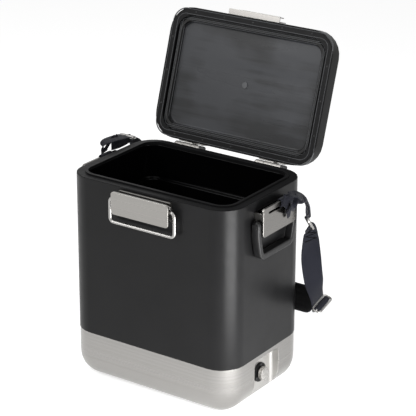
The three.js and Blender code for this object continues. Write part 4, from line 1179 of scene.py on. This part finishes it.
def disc(centre, axis, radius, height):
    """A flat round mark with a soft edge."""
    profile = [(radius, 0), (radius, height / 2), (radius - height / 2, height), (TIP, height)]
    return turned(profile, centre, axis)


def opened(point):
    """A place on the closed lid, turned with it to where it stands open."""
    return LID_AXIS + LID_TURN @ (Vector(point) - LID_AXIS)


def opened_skin(skin):
    return [opened(p) for p in skin[0]], skin[1]


def lid_rib(inset, z, radius):
    """A fine rounded rib all round the lid, at one inset from its edge."""
    half_width, half_depth = LID_HALF[0] - inset, LID_HALF[1] - inset
    corners = [Vector((sx * half_width, sy * half_depth, z)) for sx, sy in CORNER_SIGNS]
    loop = rounded_path(corners, LID_CORNER - inset, 10, closed=True)
    return opened_skin(tube(loop, radius, 8, closed=True))


def make_lid_marks(materials):
    """Ribs round the lid's ring and gasket, small round marks and the catch's rivets."""
    # The ribs take the plug's lighter grey: a painted highlight along each rib
    add_piece("lid_ribs", *merge([lid_rib(*rib) for rib in RING_RIBS]), materials["port_plug"], "lid")
    add_piece("gasket_ribs", *merge([lid_rib(*rib) for rib in GASKET_RIBS]), materials["port_plug"], "lid")
    x, y = LID_HALF[0] - MARK_INSET, LID_HALF[1] - MARK_INSET
    spots = [(k * MARK_PITCH, sy * y, MARK_Z) for k in range(-2, 3) for sy in (-1, 1)]
    spots += [(sx * x, k * MARK_PITCH, MARK_Z) for k in (-1, 0, 1) for sx in (-1, 1)]
    marks = [opened_skin(disc(spot, (0, 0, -1), MARK_RADIUS, MARK_HEIGHT)) for spot in spots]
    add_piece("lid_marks", *merge(marks), materials["black_metal"], "lid")
    x, y, z = CATCH_RIVET
    rivets = [rivet_head((s * x, y, z), (0, -1, 0)) for s in (-1, 1)]
    add_piece("catch_rivets", *merge([opened_skin(r) for r in rivets]), materials["bright_steel"], "lid")


def foot_height(x):
    """Height of the base's rounded lower edge below a place in its right side."""
    inner = BASE_HALF_WIDTH - BASE_BEND
    return BASE_BEND - math.sqrt(max(BASE_BEND**2 - max(x - inner, 0) ** 2, 0))


def make_pocket_fillet(material):
    """The drawn pocket's round inner corner, between its back and its walls."""
    back, half, top, corner, bend = 157 * MM, 39 * MM, 85 * MM, 11 * MM, 7 * MM
    foot, knee = 6 * MM, 40 * MM
    outline = [(Vector((0, half, z)), Vector((0, -1, 0))) for z in (foot, knee)]
    for side in (1, -1):
        turn = range(0, 91, 10) if side == 1 else range(90, -1, -10)
        for angle in turn:
            a = math.radians(angle)
            out = Vector((0, side * math.cos(a), math.sin(a)))
            outline.append((Vector((0, side * (half - corner), top - corner)) + out * corner, -out))
    outline += [(Vector((0, -half, z)), Vector((0, 1, 0))) for z in (knee, foot)]
    steps = 10
    reach = bend + FILLET_LIFT
    vertices, faces = [], []
    for place, inward in outline:
        for k in range(steps + 1):
            a = math.pi / 2 * k / steps
            x = back + bend - reach * math.cos(a)
            spot = place + inward * (bend - reach * math.sin(a)) + Vector((x, 0, 0))
            spot.z = max(spot.z, foot_height(x) + FILLET_FOOT_GAP)
            vertices.append(spot)
    for i in range(len(outline) - 1):
        for k in range(steps):
            a = i * (steps + 1) + k
            faces.append((a, a + 1, a + steps + 2, a + steps + 1))
    add_piece("pocket_fillet", vertices, faces, material, "cooler", "brushed_steel")


def make_fasteners(materials):
    """Screws of the hinge leaves and of the drain's round plate."""
    bright, black = materials["bright_steel"], materials["black_metal"]
    reach, lid_y, lid_z = LID_SCREW
    for side in ("right", "left"):
        low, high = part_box("hinge_body_leaf_" + side)
        middle = (low.x + high.x) / 2
        y, z = low.y + LEAF_SCREW_SINK, low.z + LEAF_SCREW_RISE
        heads = [screw_head((middle + k * LEAF_SCREW_PITCH, y, z), (0, 1, 0)) for k in (-1, 0, 1)]
        add_piece("hinge_screws_" + side, *merge(heads), bright, "cooler")
        spots = [(middle + s * reach, lid_y, lid_z) for s in (-1, 1)]
        heads = [opened_skin(screw_head(p, (0, 1, 0))) for p in spots]
        add_piece("lid_screws_" + side, *merge(heads), bright, "lid")
    x, z = DRAIN_PLATE
    around = [math.radians(a) for a in (90, 210, 330)]
    spots = [(x, DRAIN_SCREW_CIRCLE * math.cos(a), z + DRAIN_SCREW_CIRCLE * math.sin(a)) for a in around]
    heads = [screw_head(p, (1, 0, 0), DRAIN_SCREW) for p in spots]
    add_piece("drain_screws", *merge(heads), black, "cooler")


make_camera()
materials = make_materials()
make_strap(materials)
make_bail(materials["bright_steel"])
for side in ("right", "left"):
    make_handle(side, materials["black_metal"])
finish_nodes(materials)
make_fasteners(materials)
make_lid_marks(materials)
make_pocket_fillet(materials["brushed_steel"])
make_world()
make_floor()
for lamp in LAMPS:
    make_lamp(*lamp)

scene.view_settings.view_transform = "Standard"
